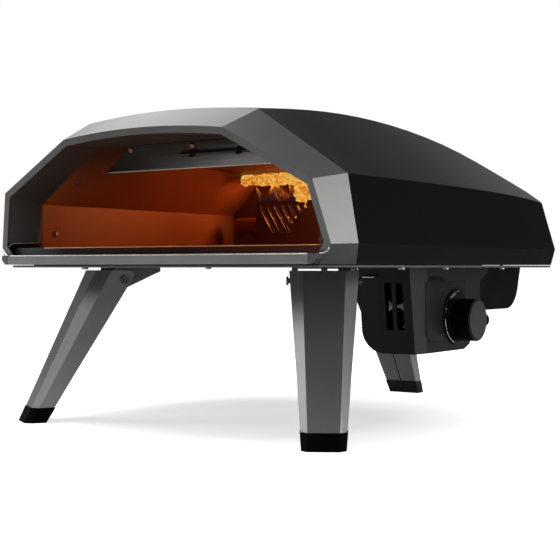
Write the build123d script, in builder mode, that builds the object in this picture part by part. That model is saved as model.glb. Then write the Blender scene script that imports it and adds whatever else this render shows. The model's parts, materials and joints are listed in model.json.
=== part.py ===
from build123d import *
import os
from math import cos, hypot, radians, sin, tan

# Gas-fired portable pizza oven on three folding legs, in millimetres.
# +X is the oven's right seen from its front, +Y points to the rear and +Z is up.
# The origin is on the ground, under the middle of the oven's overall box.

# Overall sizes
overall_width = 500.0
overall_depth = 640.0
tray_height = 190.0
front_y = -overall_depth / 2
rear_y = overall_depth / 2

# Sheet, clearances and cuts
sheet = 1.2
moving_gap = 0.3
running_gap = 0.05
hole_gap = 0.4
cut_over = 6.0

# Hood outline where visor and shell meet: half widths, and rises above the hood's lower edge
hood_seam = 3.4
hood_waist_half = overall_width / 2
hood_waist_rise = 21.6
hood_floor_inset = 3.0
hood_floor_half = hood_waist_half - hood_floor_inset
hood_side_inset = 13.0
hood_side_half = hood_waist_half - hood_side_inset
hood_side_rise = 94.3
hood_ridge_share = 0.496
hood_ridge_half = hood_waist_half * hood_ridge_share
hood_ridge_rise = 169.1
hood_crown = 7.5
hood_floor = tray_height + hood_seam
hood_lip = 12.0

# Visor and its flange ring, which leans forward towards the top
visor_depth = 55.0
visor_sheet = 1.5
flange_lean = 9.15
flange_width = 7.8
flange_floor_inset = 25.0
flange_floor_half = hood_floor_half - flange_floor_inset
flange_waist_inset = 12.0
flange_waist_half = hood_waist_half - flange_waist_inset
flange_waist_rise = 20.9
flange_side_inset = 15.0
flange_side_half = hood_side_half - flange_side_inset
flange_side_rise = 87.7
flange_ridge_inset = 9.0
flange_ridge_half = hood_ridge_half - flange_ridge_inset
flange_ridge_rise = 146.5
flange_crown = 7.0
visor_back_y = front_y + visor_depth
flange_floor_y = front_y + (flange_ridge_rise + flange_crown) * sin(radians(flange_lean))

# Shell: its ridge as shares of the shell's length, of the side's half width and of the front ridge's rise
shell_end_gap = 49.0
shell_length = rear_y - shell_end_gap - visor_back_y
ridge_length_shares = (0.0, 0.325, 0.528, 0.718, 0.843, 0.981, 1.03)
ridge_half_shares = (0.523, 0.557, 0.633, 0.760, 0.886, 0.985, 0.996)
ridge_rise_shares = (1.0, 1.062, 1.012, 0.867, 0.696, 0.518, 0.455)
side_fall_share = 0.1
side_fall_power = 5
ring_count = 18
shell_floor_setback = 8.0
shell_shoulder_setback = 16.0
shell_shoulder_rise = 86.2

# Front sill bar, which stands proud of the flange ring's foot, and the visor's corner pieces at its ends
sill_inset = 5.0
sill_half = flange_floor_half - sill_inset
sill_height = 11.0
sill_gap = 0.5
sill_reach = 14.1
corner_width = 9.7
corner_cut = 5.5

# Rail that stands on the sill behind the flange ring, in front of the stone
rail_setback = 5.6
rail_height = 9.4
rail_fold = 6.0
rail_overhang = 8.0
rail_round = 8.0

# Tray
tray_inset = 0.5
tray_lip = 2.6

# Liner, stone and insulation
liner_sheet = 1.0
liner_side_gap = 46.0
liner_half = hood_waist_half - liner_side_gap
liner_side_rise = 65.6
liner_ridge_inset = 12.0
liner_ridge_half = hood_ridge_half - liner_ridge_inset
liner_ridge_rise = 131.6
liner_rear_inset = 54.0
liner_rear_ridge_half = liner_half - liner_rear_inset
liner_rear_ridge_rise = 118.6
liner_rear_gap = 139.0
liner_depth = shell_length - liner_rear_gap
liner_flange_gap = 0.4
board_thickness = 11.4
stone_thickness = 10.5
stone_side_gap = 4.0
stone_front_gap = 5.0
stone_rear_gap = 63.0
stone_depth = liner_depth - stone_rear_gap
lining_hem = 1.0
lining_crown = 0.5
lining_rise = 26.6
blanket_thickness = 12.0
blanket_front_gap = 40.0
stone_bevel = 1.0

# Burner and guard
burner_radius = 12.0
burner_wall = 1.5
burner_end_gap = 34.0
burner_half = liner_half - burner_end_gap
burner_rise = 46.6
burner_wall_gap = 32.0
port_radius = 1.6
port_count = 24
burner_bracket_inset = 20.0
burner_bracket_x = burner_half - burner_bracket_inset
burner_bracket_width = 14.0
guard_inset = 45.0
guard_half = burner_half - guard_inset
guard_height = 80.6
guard_gap = 6.0
guard_foot = 10.0
guard_slot_width = 4.0
guard_slot_pitch = 12.7
guard_slot_drop = 35.0
guard_slot_margin = 8.0
guard_slot_lean = 33.0
guard_slot_shares = (1.0, 1.0, 1.0, 0.66, 0.43, 0.22, 0.0)
electrode_radius = 1.6
electrode_ceramic_radius = 3.0
electrode_inset = 65.0
electrode_x = guard_half - electrode_inset
electrode_lift = 10.0

# Baffle under the roof of the mouth
baffle_overhang = 14.0
baffle_half = liner_ridge_half + baffle_overhang
baffle_right_inset = 6.0
baffle_top_right = liner_ridge_half - baffle_right_inset
baffle_left_inset = 51.0
baffle_top_left = liner_ridge_half - baffle_left_inset
baffle_drop = 28.0
baffle_slope = 22.0
baffle_setback = 5.0
baffle_flange = 12.0
baffle_screw_left_inset = 60.5
baffle_screw_left = baffle_half - baffle_screw_left_inset
baffle_screw_right_inset = 99.4
baffle_screw_right = baffle_half - baffle_screw_right_inset
baffle_screw_drop = 5.5
baffle_screw_length = 2.2
baffle_roof_gap = 0.6
rod_radius = 2.0
rod_start = 6.0
rod_end_inset = 15.0
rod_length = baffle_half - rod_start - rod_end_inset
rod_drop = 14.0
rod_proud = 4.0
rod_bracket_half = 3.0
rod_bracket_reach = 4.4
rod_bracket_shares = (0.19, 0.81)

# Control housing under the right rear
housing_wall = 2.0
housing_inset = 36.0
housing_right = hood_waist_half - housing_inset
housing_width = 74.0
housing_left = housing_right - housing_width
dial_setback = 101.0
dial_y = visor_back_y + liner_depth - dial_setback
dial_reach = 111.0
housing_front = dial_y - dial_reach
housing_drop = 103.0
housing_lean = 12.0
housing_length = 141.0
housing_heel = 16.0
housing_heel_rise = 6.0
housing_back_rise = 48.0
housing_back_length = 31.0
housing_back_top = 18.0
housing_top_length = 25.0
housing_top_rise = 6.0
housing_corner_radius = 28.0
housing_facet_depth = 4.5
housing_facet_length = 36.0
air_slot_width = 9.5
air_slot_height = 56.0
air_slot_pitch = 14.9
air_slot_inset = 27.5
air_slot_x = housing_right - air_slot_inset
air_slot_drop = 46.5
shutter_gap = 9.0
shutter_half = 19.0
shutter_height = 90.0
shutter_hole_radius = 13.0
shutter_hole_pitch = 30.0
shutter_hole_shift = 5.0

# Rear housing
rear_housing_inset = 8.0
rear_housing_right = housing_right - rear_housing_inset
rear_housing_width = 106.0
rear_housing_left = rear_housing_right - rear_housing_width
rear_housing_drop = 56.0
rear_housing_gap = 0.5
rear_housing_setback = 18.0
rear_housing_end = visor_back_y + shell_length - rear_housing_setback
rear_housing_lean = 18.0
rear_housing_corner = 40.0
lug_size = 12.0
lug_shares = (0.2, 0.9)
rear_lug_shares = (0.3, 0.75)

# Gas valve, dial and knob, all on one axis along X
dial_drop = 64.7
valve_inset = 10.0
valve_left = housing_left + valve_inset
valve_radius = 13.0
valve_length = 50.0
port_boss_radius = 6.0
port_boss = 5.0
bonnet_radius = 9.0
plunger_radius = 5.0
plunger_length = 14.0
plunger_inset = 2.0
stem_radius = 3.0
stem_tail = 4.0
push_travel = 3.0
bezel_radius = 34.5
bezel_inner_radius = 20.0
bezel_thickness = 3.0
bezel_lift = 3.7
knob_radius = 26.0
knob_face_radius = 24.0
knob_length = 25.0
knob_cap = 4.0
knob_gap = 4.0

# Gas pipe and inlet
pipe_radius = 4.0
pipe_bend_radius = 10.0
pipe_inset = 25.0
pipe_x = housing_left + pipe_inset
pipe_rise = 26.7
inlet_inset = 22.0
inlet_x = housing_right - inlet_inset
inlet_drop = 70.0
inlet_radius = 6.5
inlet_tail = 53.0
inlet_y = dial_y + inlet_tail
inlet_length = 76.0
inlet_cap_radius = 9.4
inlet_cap_length = 26.0
inlet_cap_wall = 2.0
module_width = 22.0
module_depth = 30.0
module_height = 40.0
module_setback = 50.0

# Legs: section at the foot and at the tray, and where each one stands
leg_foot_width = 46.0
leg_foot_face = 33.0
leg_foot_depth = 21.4
leg_top_width = 79.0
leg_top_face = 49.0
leg_top_depth = 44.0
leg_seam = 1.6
leg_window = 56.0
leg_top_gap = 3.5
foot_cap_height = 18.5
foot_cap_proud = 0.8
foot_plug = 14.0
front_foot_inset = 36.4
front_foot_x = hood_waist_half - front_foot_inset
front_foot_setback = 45.8
front_leg_angle = 32.0
front_leg_reach = 101.0
rear_foot_setback = 14.0
rear_leg_reach = 97.0
pivot_drop = 15.0
pivot_edge = 8.5
pivot_ear = 14.0
pin_radius = 3.0
pin_head_radius = 5.0
pin_head = 2.5
bracket_length = 49.0
bracket_knee = 4.2
bracket_heel = 4.0
bracket_heel_drop = 7.0
bracket_nose = 10.0
bracket_tip = 5.0
bracket_side_gap = 2.0
bracket_sheet = 1.5
bracket_screw_radius = 2.0
bracket_screw_head_radius = 3.8
bracket_screw_head = 2.4
bracket_screw_shares = (0.4, 0.8)

# Screws of tray, liner and housings
tray_screw_radius = 2.0
tray_screw_head_radius = 4.5
tray_screw_head = 2.6
tray_screw_inset = 8.0
tray_screw_shares = (0.21, 0.41, 0.71)
liner_screw_radius = 2.0
liner_screw_head_radius = 4.0
liner_screw_head = 2.2
liner_screw_setback = 22.0
liner_screw_low = 28.6
liner_screw_length = 7.0
liner_screw_facet_share = 0.42
dome_share = 0.8


def save(name, part):
    """Write one finished piece to its own file."""
    part.label = name
    export_step(part, f"parts/{name}.step")


def arch_outline(half_points, crown):
    """Closed face of an arch: straight lower edge, mirrored corners and a crowned top arc."""
    ridge_half, ridge_rise = half_points[-1]
    mirrored = [(-x, z) for x, z in half_points]
    with BuildLine() as outline:
        Polyline(*half_points)
        ThreePointArc(half_points[-1], (0, ridge_rise + crown), (-ridge_half, ridge_rise))
        Polyline(*mirrored)
        Line(mirrored[0], half_points[0])
    make_face(outline.edges())


def upright_plane(y, height):
    """Plane across the oven at y, with its origin at the given height and its rises along +Z."""
    return Plane((0, y, height), x_dir=(1, 0, 0), z_dir=(0, -1, 0))


def side_plane(x):
    """Plane along the oven at x, with Y and Z as its two directions."""
    return Plane((x, 0, 0), x_dir=(0, 1, 0), z_dir=(1, 0, 0))


hood_points = [
    (hood_floor_half, 0),
    (hood_waist_half, hood_waist_rise),
    (hood_side_half, hood_side_rise),
    (hood_ridge_half, hood_ridge_rise),
]
flange_points = [
    (flange_floor_half, 0),
    (flange_waist_half, flange_waist_rise),
    (flange_side_half, flange_side_rise),
    (flange_ridge_half, flange_ridge_rise),
]
lean = radians(flange_lean)
flange_plane = Plane((0, flange_floor_y, hood_floor), x_dir=(1, 0, 0), z_dir=(0, -cos(lean), -sin(lean)))
back_plane = upright_plane(visor_back_y, hood_floor)
sill_top = hood_floor + sill_height

sill_front_y = flange_floor_y - sill_reach
flange_spread = (flange_waist_half - flange_floor_half) / flange_waist_rise


def corner_piece(side, front, back, inset):
    """One of the visor's lower corner pieces beside the sill, or with an inset the hollow behind it."""
    inner = sill_half + sill_gap - (cut_over if inset > 0 else 0)
    low = -cut_over if inset > 0 else 0
    outer = sill_half + sill_gap + corner_width - inset
    foot = flange_floor_half - inset
    top = sill_height - inset
    front_points = [(inner, low), (outer - corner_cut, low), (outer, corner_cut), (outer, top), (inner, top)]
    back_points = [
        (inner, low),
        (foot, low),
        (foot + flange_spread * corner_cut, corner_cut),
        (foot + flange_spread * sill_height, top),
        (inner, top),
    ]
    with BuildPart() as piece:
        for y, points in ((front, front_points), (back, back_points)):
            with BuildSketch(upright_plane(y, hood_floor)):
                Polygon(*[(side * x, z) for x, z in points], align=None)
        loft(ruled=True)
    return piece.part


# Front visor: faceted sheet between the leaning flange ring and the shell
with BuildPart() as visor:
    with BuildSketch(flange_plane):
        arch_outline(flange_points, flange_crown)
    with BuildSketch(back_plane):
        arch_outline(hood_points, hood_crown)
    loft(ruled=True)
    with BuildSketch(flange_plane.offset(-visor_sheet)):
        arch_outline(flange_points, flange_crown)
        offset(amount=-visor_sheet)
    with BuildSketch(back_plane):
        arch_outline(hood_points, hood_crown)
        offset(amount=-visor_sheet)
    loft(ruled=True, mode=Mode.SUBTRACT)
    with BuildSketch(flange_plane.offset(cut_over)):
        arch_outline(flange_points, flange_crown)
        offset(amount=-flange_width)
    extrude(amount=-cut_over - 2 * visor_sheet, mode=Mode.SUBTRACT)
    with BuildSketch(Plane.XY.offset(hood_floor - cut_over)):
        with Locations((0, (front_y + visor_back_y) / 2)):
            Rectangle(2 * (sill_half + sill_gap), visor_depth + 2 * cut_over)
    extrude(amount=cut_over + sill_height + sill_gap, mode=Mode.SUBTRACT)
    for side in (-1, 1):
        add(corner_piece(side, sill_front_y, flange_floor_y + visor_sheet, 0))
        hollow = corner_piece(side, sill_front_y + visor_sheet, flange_floor_y - 2 * visor_sheet, visor_sheet)
        add(hollow, mode=Mode.SUBTRACT)
save("front_visor", visor.part)


def ridge_curve():
    """Curve of the shell's right ridge, from the visor to just past the rear wall."""
    shares = zip(ridge_length_shares, ridge_half_shares, ridge_rise_shares)
    return Spline(*[
        (hood_side_half * half, visor_back_y + shell_length * along, hood_ridge_rise * rise)
        for along, half, rise in shares
    ])


def shell_solid(inset):
    """The shell's outer form, drawn in by the inset on every side but its front."""
    ridge = ridge_curve()
    with BuildPart() as solid:
        for ring in range(ring_count + 1):
            corner = ridge @ (ring / ring_count)
            along = (corner.Y - visor_back_y) / shell_length
            side_rise = hood_side_rise * (1 - side_fall_share * along**side_fall_power)
            points = [*hood_points[:2], (hood_side_half, side_rise), (corner.X, corner.Z)]
            with BuildSketch(upright_plane(corner.Y, hood_floor)):
                arch_outline(points, hood_crown)
                if inset > 0:
                    offset(amount=-inset)
        loft(ruled=True)
        back = visor_back_y + shell_length - inset
        shoulder_z = hood_floor + shell_shoulder_rise
        top_rise = hood_ridge_rise + 2 * hood_crown
        slope = shell_shoulder_setback / (shell_shoulder_rise - hood_waist_rise)
        with BuildSketch(side_plane(0)):
            Polygon(
                (visor_back_y - cut_over, hood_floor - cut_over),
                (back - shell_floor_setback * (1 + cut_over / hood_waist_rise), hood_floor - cut_over),
                (back, hood_floor + hood_waist_rise),
                (back - shell_shoulder_setback, shoulder_z),
                (back - slope * (top_rise - hood_waist_rise) - cut_over, hood_floor + top_rise + cut_over),
                (visor_back_y - cut_over, hood_floor + top_rise + cut_over),
                align=None,
            )
        extrude(amount=hood_waist_half + cut_over, both=True, mode=Mode.INTERSECT)
    return solid.part


# Front sill: folded bar whose rear wall rests on the tray, between the visor's corner pieces
tray_top = tray_height + sheet
sill_back_y = visor_back_y - sill_gap
with BuildPart() as sill:
    with BuildSketch(side_plane(-sill_half)):
        Polygon(
            (sill_front_y, hood_floor),
            (sill_front_y, sill_top),
            (sill_back_y, sill_top),
            (sill_back_y, tray_top),
            (sill_back_y - sheet, tray_top),
            (sill_back_y - sheet, sill_top - sheet),
            (sill_front_y + sheet, sill_top - sheet),
            (sill_front_y + sheet, hood_floor),
            align=None,
        )
    extrude(amount=2 * sill_half)
save("front_sill", sill.part)

# Mouth rail: folded strip that stands on the sill across the mouth
rail_y = flange_floor_y + rail_setback
rail_top = sill_top + rail_height
rail_half = flange_floor_half + rail_overhang
with BuildPart() as rail:
    with BuildSketch(side_plane(-rail_half)):
        Polygon(
            (rail_y, sill_top),
            (rail_y, rail_top),
            (rail_y + rail_fold, rail_top),
            (rail_y + rail_fold, rail_top - sheet),
            (rail_y + sheet, rail_top - sheet),
            (rail_y + sheet, sill_top + sheet),
            (rail_y + rail_fold, sill_top + sheet),
            (rail_y + rail_fold, sill_top),
            align=None,
        )
    extrude(amount=2 * rail_half)
    with BuildSketch(upright_plane(rail_y - cut_over, sill_top)) as rail_face:
        with Locations((0, rail_height / 2)):
            Rectangle(2 * rail_half, rail_height)
        fillet(rail_face.vertices().group_by(Axis.Y)[-1], radius=rail_round)
    extrude(amount=-rail_fold - 2 * cut_over, mode=Mode.INTERSECT)
save("mouth_rail", rail.part)

# Places of the legs, worked out from where each foot stands
front_foot_y = front_y + front_foot_setback
splay = sin(radians(front_leg_angle))
forward = -cos(radians(front_leg_angle))
leg_places = {
    "front_left": ((-front_foot_x, front_foot_y), (-splay, forward), front_leg_reach),
    "front_right": ((front_foot_x, front_foot_y), (splay, forward), front_leg_reach),
    "rear": ((0, rear_y - rear_foot_setback), (0, 1), rear_leg_reach),
}


class LegFrame:
    """Directions, planes and pivot of one leg, from its foot's place, outward direction and reach."""

    def __init__(self, foot, outward, reach):
        self.length = hypot(reach, tray_height)
        self.tilt = reach / tray_height
        self.outward = Vector(*outward, 0)
        self.side = Vector(0, 0, 1).cross(self.outward)
        self.along = (Vector(0, 0, tray_height) - self.outward * reach) / self.length
        self.inward = self.along.cross(self.side)
        self.foot = Vector(*foot, 0)
        self.depth_rate = (leg_top_depth - leg_foot_depth) / self.length
        tilt_sin = reach / self.length
        tilt_cos = tray_height / self.length
        rise = tray_height - pivot_drop + tilt_sin * (leg_foot_depth / 2 - pivot_edge)
        self.pivot_t = rise / (tilt_cos - tilt_sin * self.depth_rate / 2)
        pivot_inward = self.section(self.pivot_t)[2] / 2 - pivot_edge
        self.pivot = self.foot + self.along * self.pivot_t + self.inward * pivot_inward

    def section(self, t):
        """Full width, outer face's width and depth of the leg at a distance from its foot."""
        share = t / self.length
        width = leg_foot_width + (leg_top_width - leg_foot_width) * share
        face = leg_foot_face + (leg_top_face - leg_foot_face) * share
        depth = leg_foot_depth + (leg_top_depth - leg_foot_depth) * share
        return width, face, depth

    def plane(self, t):
        """Plane across the leg: X is its width and Y points inward."""
        return Plane(self.foot + self.along * t, x_dir=self.side, z_dir=self.along)

    def pivot_plane(self):
        """Plane through the pivot, across the pin: X points inward and Y up along the leg."""
        return Plane(self.pivot, x_dir=self.inward, z_dir=self.side)

    def mount_plane(self):
        """Plane of the tray's underside above the pivot: X points outward and Y along the pin."""
        return Plane((self.pivot.X, self.pivot.Y, tray_height), x_dir=self.outward, z_dir=(0, 0, 1))


leg_frames = {name: LegFrame(*place) for name, place in leg_places.items()}


def leg_face(frame, t, grow=0):
    """Section of the leg: flat outer face, two bevels, sides and a flat inner face."""
    width, face, depth = frame.section(t)
    bevel = (width - face) / 2
    Polygon(
        (-face / 2, -depth / 2),
        (face / 2, -depth / 2),
        (width / 2, -depth / 2 + bevel),
        (width / 2, depth / 2),
        (-width / 2, depth / 2),
        (-width / 2, -depth / 2 + bevel),
        align=None,
    )
    if grow != 0:
        offset(amount=grow, kind=Kind.INTERSECTION)


def leg_loft(frame, start, end, grow):
    """Tapered solid of the leg between two distances from the foot."""
    with BuildPart() as solid:
        for t in (start, end):
            with BuildSketch(frame.plane(t)):
                leg_face(frame, t, grow)
        loft(ruled=True)
    return solid.part


def inner_strip(frame, start, end, strip_half):
    """Tapered bar through the leg's inner face, used to open its seam and its window."""
    with BuildPart() as bar:
        for t in (start, end):
            with BuildSketch(frame.plane(t)):
                with Locations((0, frame.section(t)[2] / 2)):
                    Rectangle(2 * strip_half(t), sheet + cut_over)
        loft(ruled=True)
    return bar.part


def leg_part(frame):
    """Closed sheet leg with a seam on its inner face, open at the top where the bracket enters."""
    window_start = frame.pivot_t - leg_window
    start = -foot_cap_height
    end = frame.length + leg_top_depth
    with BuildPart() as leg:
        add(leg_loft(frame, start, end, 0))
        add(leg_loft(frame, start - cut_over, end + cut_over, -sheet), mode=Mode.SUBTRACT)
        seam = inner_strip(frame, start - cut_over, window_start + cut_over, lambda t: leg_seam / 2)
        add(seam, mode=Mode.SUBTRACT)
        window = inner_strip(frame, window_start, end + cut_over, lambda t: frame.section(t)[0] / 2 - sheet)
        add(window, mode=Mode.SUBTRACT)
        split(bisect_by=Plane.XY.offset(foot_cap_height), keep=Keep.TOP)
        split(bisect_by=Plane.XY.offset(tray_height - leg_top_gap), keep=Keep.BOTTOM)
        with BuildSketch(frame.pivot_plane()):
            Polygon(
                (0, 0),
                (leg_top_depth, 0),
                (leg_top_depth, 2 * leg_top_depth),
                (-2 * leg_top_depth * frame.tilt, 2 * leg_top_depth),
                align=None,
            )
            Circle(pivot_ear, mode=Mode.SUBTRACT)
        extrude(amount=leg_top_width, both=True, mode=Mode.SUBTRACT)
        with BuildSketch(frame.pivot_plane()):
            Circle(pin_radius + running_gap)
        extrude(amount=leg_top_width, both=True, mode=Mode.SUBTRACT)
    return leg.part


def foot_cap(frame):
    """Moulded cap, flat on the ground, with a plug up inside the leg."""
    with BuildPart() as cap:
        add(leg_loft(frame, -foot_cap_height, 2 * foot_cap_height, foot_cap_proud))
        split(bisect_by=Plane.XY.offset(foot_cap_height), keep=Keep.BOTTOM)
        split(bisect_by=Plane.XY, keep=Keep.TOP)
    with BuildPart() as plug:
        add(leg_loft(frame, 0, 3 * foot_cap_height, -sheet - moving_gap))
        split(bisect_by=Plane.XY.offset(foot_cap_height), keep=Keep.TOP)
        split(bisect_by=Plane.XY.offset(foot_cap_height + foot_plug), keep=Keep.BOTTOM)
    with BuildPart() as whole:
        add(cap.part)
        add(plug.part)
    return whole.part


def bracket_half(frame, along):
    """Half width of the bracket at a distance inward of the pivot."""
    return frame.section(frame.pivot_t - along)[0] / 2 - sheet - bracket_side_gap


def leg_bracket(frame):
    """Folded bracket under the tray: a plate and two cheeks that taper like the leg."""
    plane = frame.mount_plane()
    nose = bracket_half(frame, -bracket_nose)
    tip = bracket_half(frame, bracket_length)
    depth = pivot_drop + bracket_nose
    with BuildPart() as bracket:
        with BuildSketch(plane):
            Polygon(
                (bracket_nose, -nose),
                (bracket_nose, nose),
                (-bracket_length, tip),
                (-bracket_length, -tip),
                align=None,
            )
        extrude(amount=-depth - bracket_heel_drop)
        with BuildSketch(plane.offset(-bracket_sheet)):
            Polygon(
                (bracket_nose + cut_over, -nose + bracket_sheet),
                (bracket_nose + cut_over, nose - bracket_sheet),
                (-bracket_length - cut_over, tip - bracket_sheet),
                (-bracket_length - cut_over, -tip + bracket_sheet),
                align=None,
            )
        extrude(amount=-depth - bracket_heel_drop, mode=Mode.SUBTRACT)
        side = Plane(plane.origin, x_dir=frame.outward, z_dir=-frame.side)
        with BuildSketch(side):
            Polygon(
                (bracket_nose, 0),
                (bracket_nose, -pivot_drop),
                (bracket_heel, -depth - bracket_heel_drop),
                (-bracket_knee, -depth),
                (-bracket_length, -bracket_tip),
                (-bracket_length, 0),
                align=None,
            )
            with Locations((0, -pivot_drop)):
                Circle(bracket_nose)
        extrude(amount=leg_top_width, both=True, mode=Mode.INTERSECT)
        with BuildSketch(frame.pivot_plane()):
            Circle(pin_radius)
        extrude(amount=leg_top_width, both=True, mode=Mode.SUBTRACT)
        with BuildSketch(plane):
            with Locations(*[(-bracket_length * share, 0) for share in bracket_screw_shares]):
                Circle(bracket_screw_radius)
        extrude(amount=-depth, mode=Mode.SUBTRACT)
    return bracket.part


def pivot_pin(frame):
    """Headed pin through the leg's walls and the bracket's cheeks."""
    half = frame.section(frame.pivot_t + pivot_drop)[0] / 2 + moving_gap
    plane = frame.pivot_plane()
    with BuildPart() as pin:
        with BuildSketch(plane):
            Circle(pin_radius)
        extrude(amount=half, both=True)
        for end, head in ((half, pin_head), (-half, -pin_head)):
            with BuildSketch(plane.offset(end)):
                Circle(pin_head_radius)
            extrude(amount=head)
    return pin.part


def upright_screw(x, y, seat, radius, head_radius, head, length):
    """Pan-head screw that goes up from its seat."""
    with BuildPart() as screw:
        with BuildSketch(Plane((x, y, seat))):
            Circle(head_radius)
        extrude(amount=-head)
        chamfer(screw.faces().sort_by(Axis.Z)[0].edges(), length=head / 3)
        with BuildSketch(Plane((x, y, seat))):
            Circle(radius)
        extrude(amount=length)
    return screw.part


bracket_screw_spots = []
for name, frame in leg_frames.items():
    save(f"{name}_leg", leg_part(frame))
    save(f"{name}_foot_cap", foot_cap(frame))
    save(f"{name}_leg_bracket", leg_bracket(frame))
    for share in bracket_screw_shares:
        spot = frame.mount_plane().origin - frame.outward * (bracket_length * share)
        bracket_screw_spots.append((spot.X, spot.Y))
    print(name, "pivot", frame.pivot, "axis", frame.side, "foot", frame.foot)
save("leg_pivot_pins", Compound(children=[pivot_pin(frame) for frame in leg_frames.values()]))
save("bracket_screws", Compound(children=[
    upright_screw(x, y, tray_height - bracket_sheet, bracket_screw_radius, bracket_screw_head_radius,
                  bracket_screw_head, bracket_sheet + sheet)
    for x, y in bracket_screw_spots
]))

# Tray: thin plate with a turned-up lip, drawn in towards the mouth
tray_front = flange_floor_y - sheet - moving_gap
tray_back = visor_back_y + shell_length - shell_floor_setback - tray_inset
tray_half = hood_floor_half - tray_inset
pipe_y = visor_back_y + liner_depth - liner_sheet - burner_wall_gap
tray_screw_spots = [
    (side * (tray_half - tray_screw_inset), visor_back_y + shell_length * share)
    for side in (-1, 1)
    for share in tray_screw_shares
]


def tray_outline():
    """Plan of the tray."""
    front_half = flange_floor_half - tray_inset
    Polygon(
        (-front_half, tray_front),
        (front_half, tray_front),
        (tray_half, visor_back_y),
        (tray_half, tray_back),
        (-tray_half, tray_back),
        (-tray_half, visor_back_y),
        align=None,
    )


with BuildPart() as tray:
    with BuildSketch(Plane.XY.offset(tray_height)):
        tray_outline()
    extrude(amount=tray_lip)
    with BuildSketch(Plane.XY.offset(tray_top)):
        tray_outline()
        offset(amount=-sheet)
    extrude(amount=tray_lip, mode=Mode.SUBTRACT)
    with BuildSketch(Plane.XY.offset(tray_height - cut_over)):
        with Locations(*tray_screw_spots):
            Circle(tray_screw_radius)
        with Locations(*bracket_screw_spots):
            Circle(bracket_screw_radius)
        with Locations((pipe_x, pipe_y)):
            Circle(pipe_radius + hole_gap)
    extrude(amount=2 * cut_over, mode=Mode.SUBTRACT)
save("base_tray", tray.part)

# Rear shell: sheet hood, open at the front and, inside its lip, at the bottom
shell_void = shell_solid(sheet)
with BuildPart() as shell:
    add(shell_solid(0))
    add(shell_void, mode=Mode.SUBTRACT)
    with BuildSketch(Plane.XY.offset(hood_floor - cut_over)):
        with Locations((0, visor_back_y + (shell_length - hood_lip - shell_floor_setback) / 2 - cut_over)):
            Rectangle(2 * (hood_floor_half - hood_lip), shell_length - hood_lip - shell_floor_setback)
    extrude(amount=cut_over + 2 * sheet, mode=Mode.SUBTRACT)
    with BuildSketch(Plane.XY.offset(hood_floor - cut_over)):
        with Locations(*tray_screw_spots):
            Circle(tray_screw_radius)
    extrude(amount=cut_over + 2 * sheet, mode=Mode.SUBTRACT)
save("rear_shell", shell.part)
save("tray_screws", Compound(children=[
    upright_screw(x, y, tray_height, tray_screw_radius, tray_screw_head_radius, tray_screw_head,
                  hood_seam + 2 * sheet)
    for x, y in tray_screw_spots
]))

# Liner: steel box with a flange at its mouth that closes the gap to the hood
liner_floor = tray_top + board_thickness
liner_inside = liner_floor + liner_sheet
liner_back_y = visor_back_y + liner_depth
liner_points = [(liner_half, 0), (liner_half, liner_side_rise), (liner_ridge_half, liner_ridge_rise)]
liner_rear_points = [
    (liner_half, 0),
    (liner_half, liner_side_rise),
    (liner_rear_ridge_half, liner_rear_ridge_rise),
]


def liner_outline(half_points, grow):
    """Flat-topped outline of the liner, drawn in or grown on every side."""
    Polygon(*half_points, *[(-x, z) for x, z in reversed(half_points)], align=None)
    if grow != 0:
        offset(amount=grow, kind=Kind.INTERSECTION)


def liner_loft(front, back, grow):
    """Tapered solid with the liner's outline, between two places along the oven."""
    with BuildPart() as solid:
        with BuildSketch(upright_plane(front, liner_floor)):
            liner_outline(liner_points, grow)
        with BuildSketch(upright_plane(back, liner_floor)):
            liner_outline(liner_rear_points, grow)
        loft(ruled=True)
    return solid.part


side_screw = (liner_half - liner_sheet, liner_inside + liner_screw_low)
facet_dx = liner_half - liner_ridge_half
facet_dz = liner_ridge_rise - liner_side_rise
facet_length = hypot(facet_dx, facet_dz)
liner_screw_y = visor_back_y + liner_screw_setback
liner_screw_planes = []
for mirror_sign in (-1, 1):
    liner_screw_planes.append(
        Plane((mirror_sign * side_screw[0], liner_screw_y, side_screw[1]), z_dir=(-mirror_sign, 0, 0))
    )
    facet_x = liner_half - facet_dx * liner_screw_facet_share - liner_sheet * facet_dz / facet_length
    facet_z = liner_floor + liner_side_rise + facet_dz * liner_screw_facet_share
    facet_z -= liner_sheet * facet_dx / facet_length
    liner_screw_planes.append(
        Plane((mirror_sign * facet_x, liner_screw_y, facet_z), z_dir=(-mirror_sign * facet_dz, 0, -facet_dx))
    )

with BuildPart() as liner:
    with BuildSketch(upright_plane(visor_back_y, hood_floor)):
        arch_outline(hood_points, hood_crown)
        offset(amount=-sheet - liner_flange_gap)
    extrude(amount=-liner_sheet)
    add(liner_loft(visor_back_y, liner_back_y, 0))
    add(liner_loft(visor_back_y, liner_back_y - liner_sheet, -liner_sheet), mode=Mode.SUBTRACT)
    with BuildSketch(Plane.XY.offset(liner_floor - cut_over)):
        with Locations((pipe_x, pipe_y)):
            Circle(pipe_radius + hole_gap)
    extrude(amount=2 * cut_over, mode=Mode.SUBTRACT)
    for plane in liner_screw_planes:
        with BuildSketch(plane):
            Circle(liner_screw_radius)
        extrude(amount=cut_over, both=True, mode=Mode.SUBTRACT)
save("inner_liner", liner.part)

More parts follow.
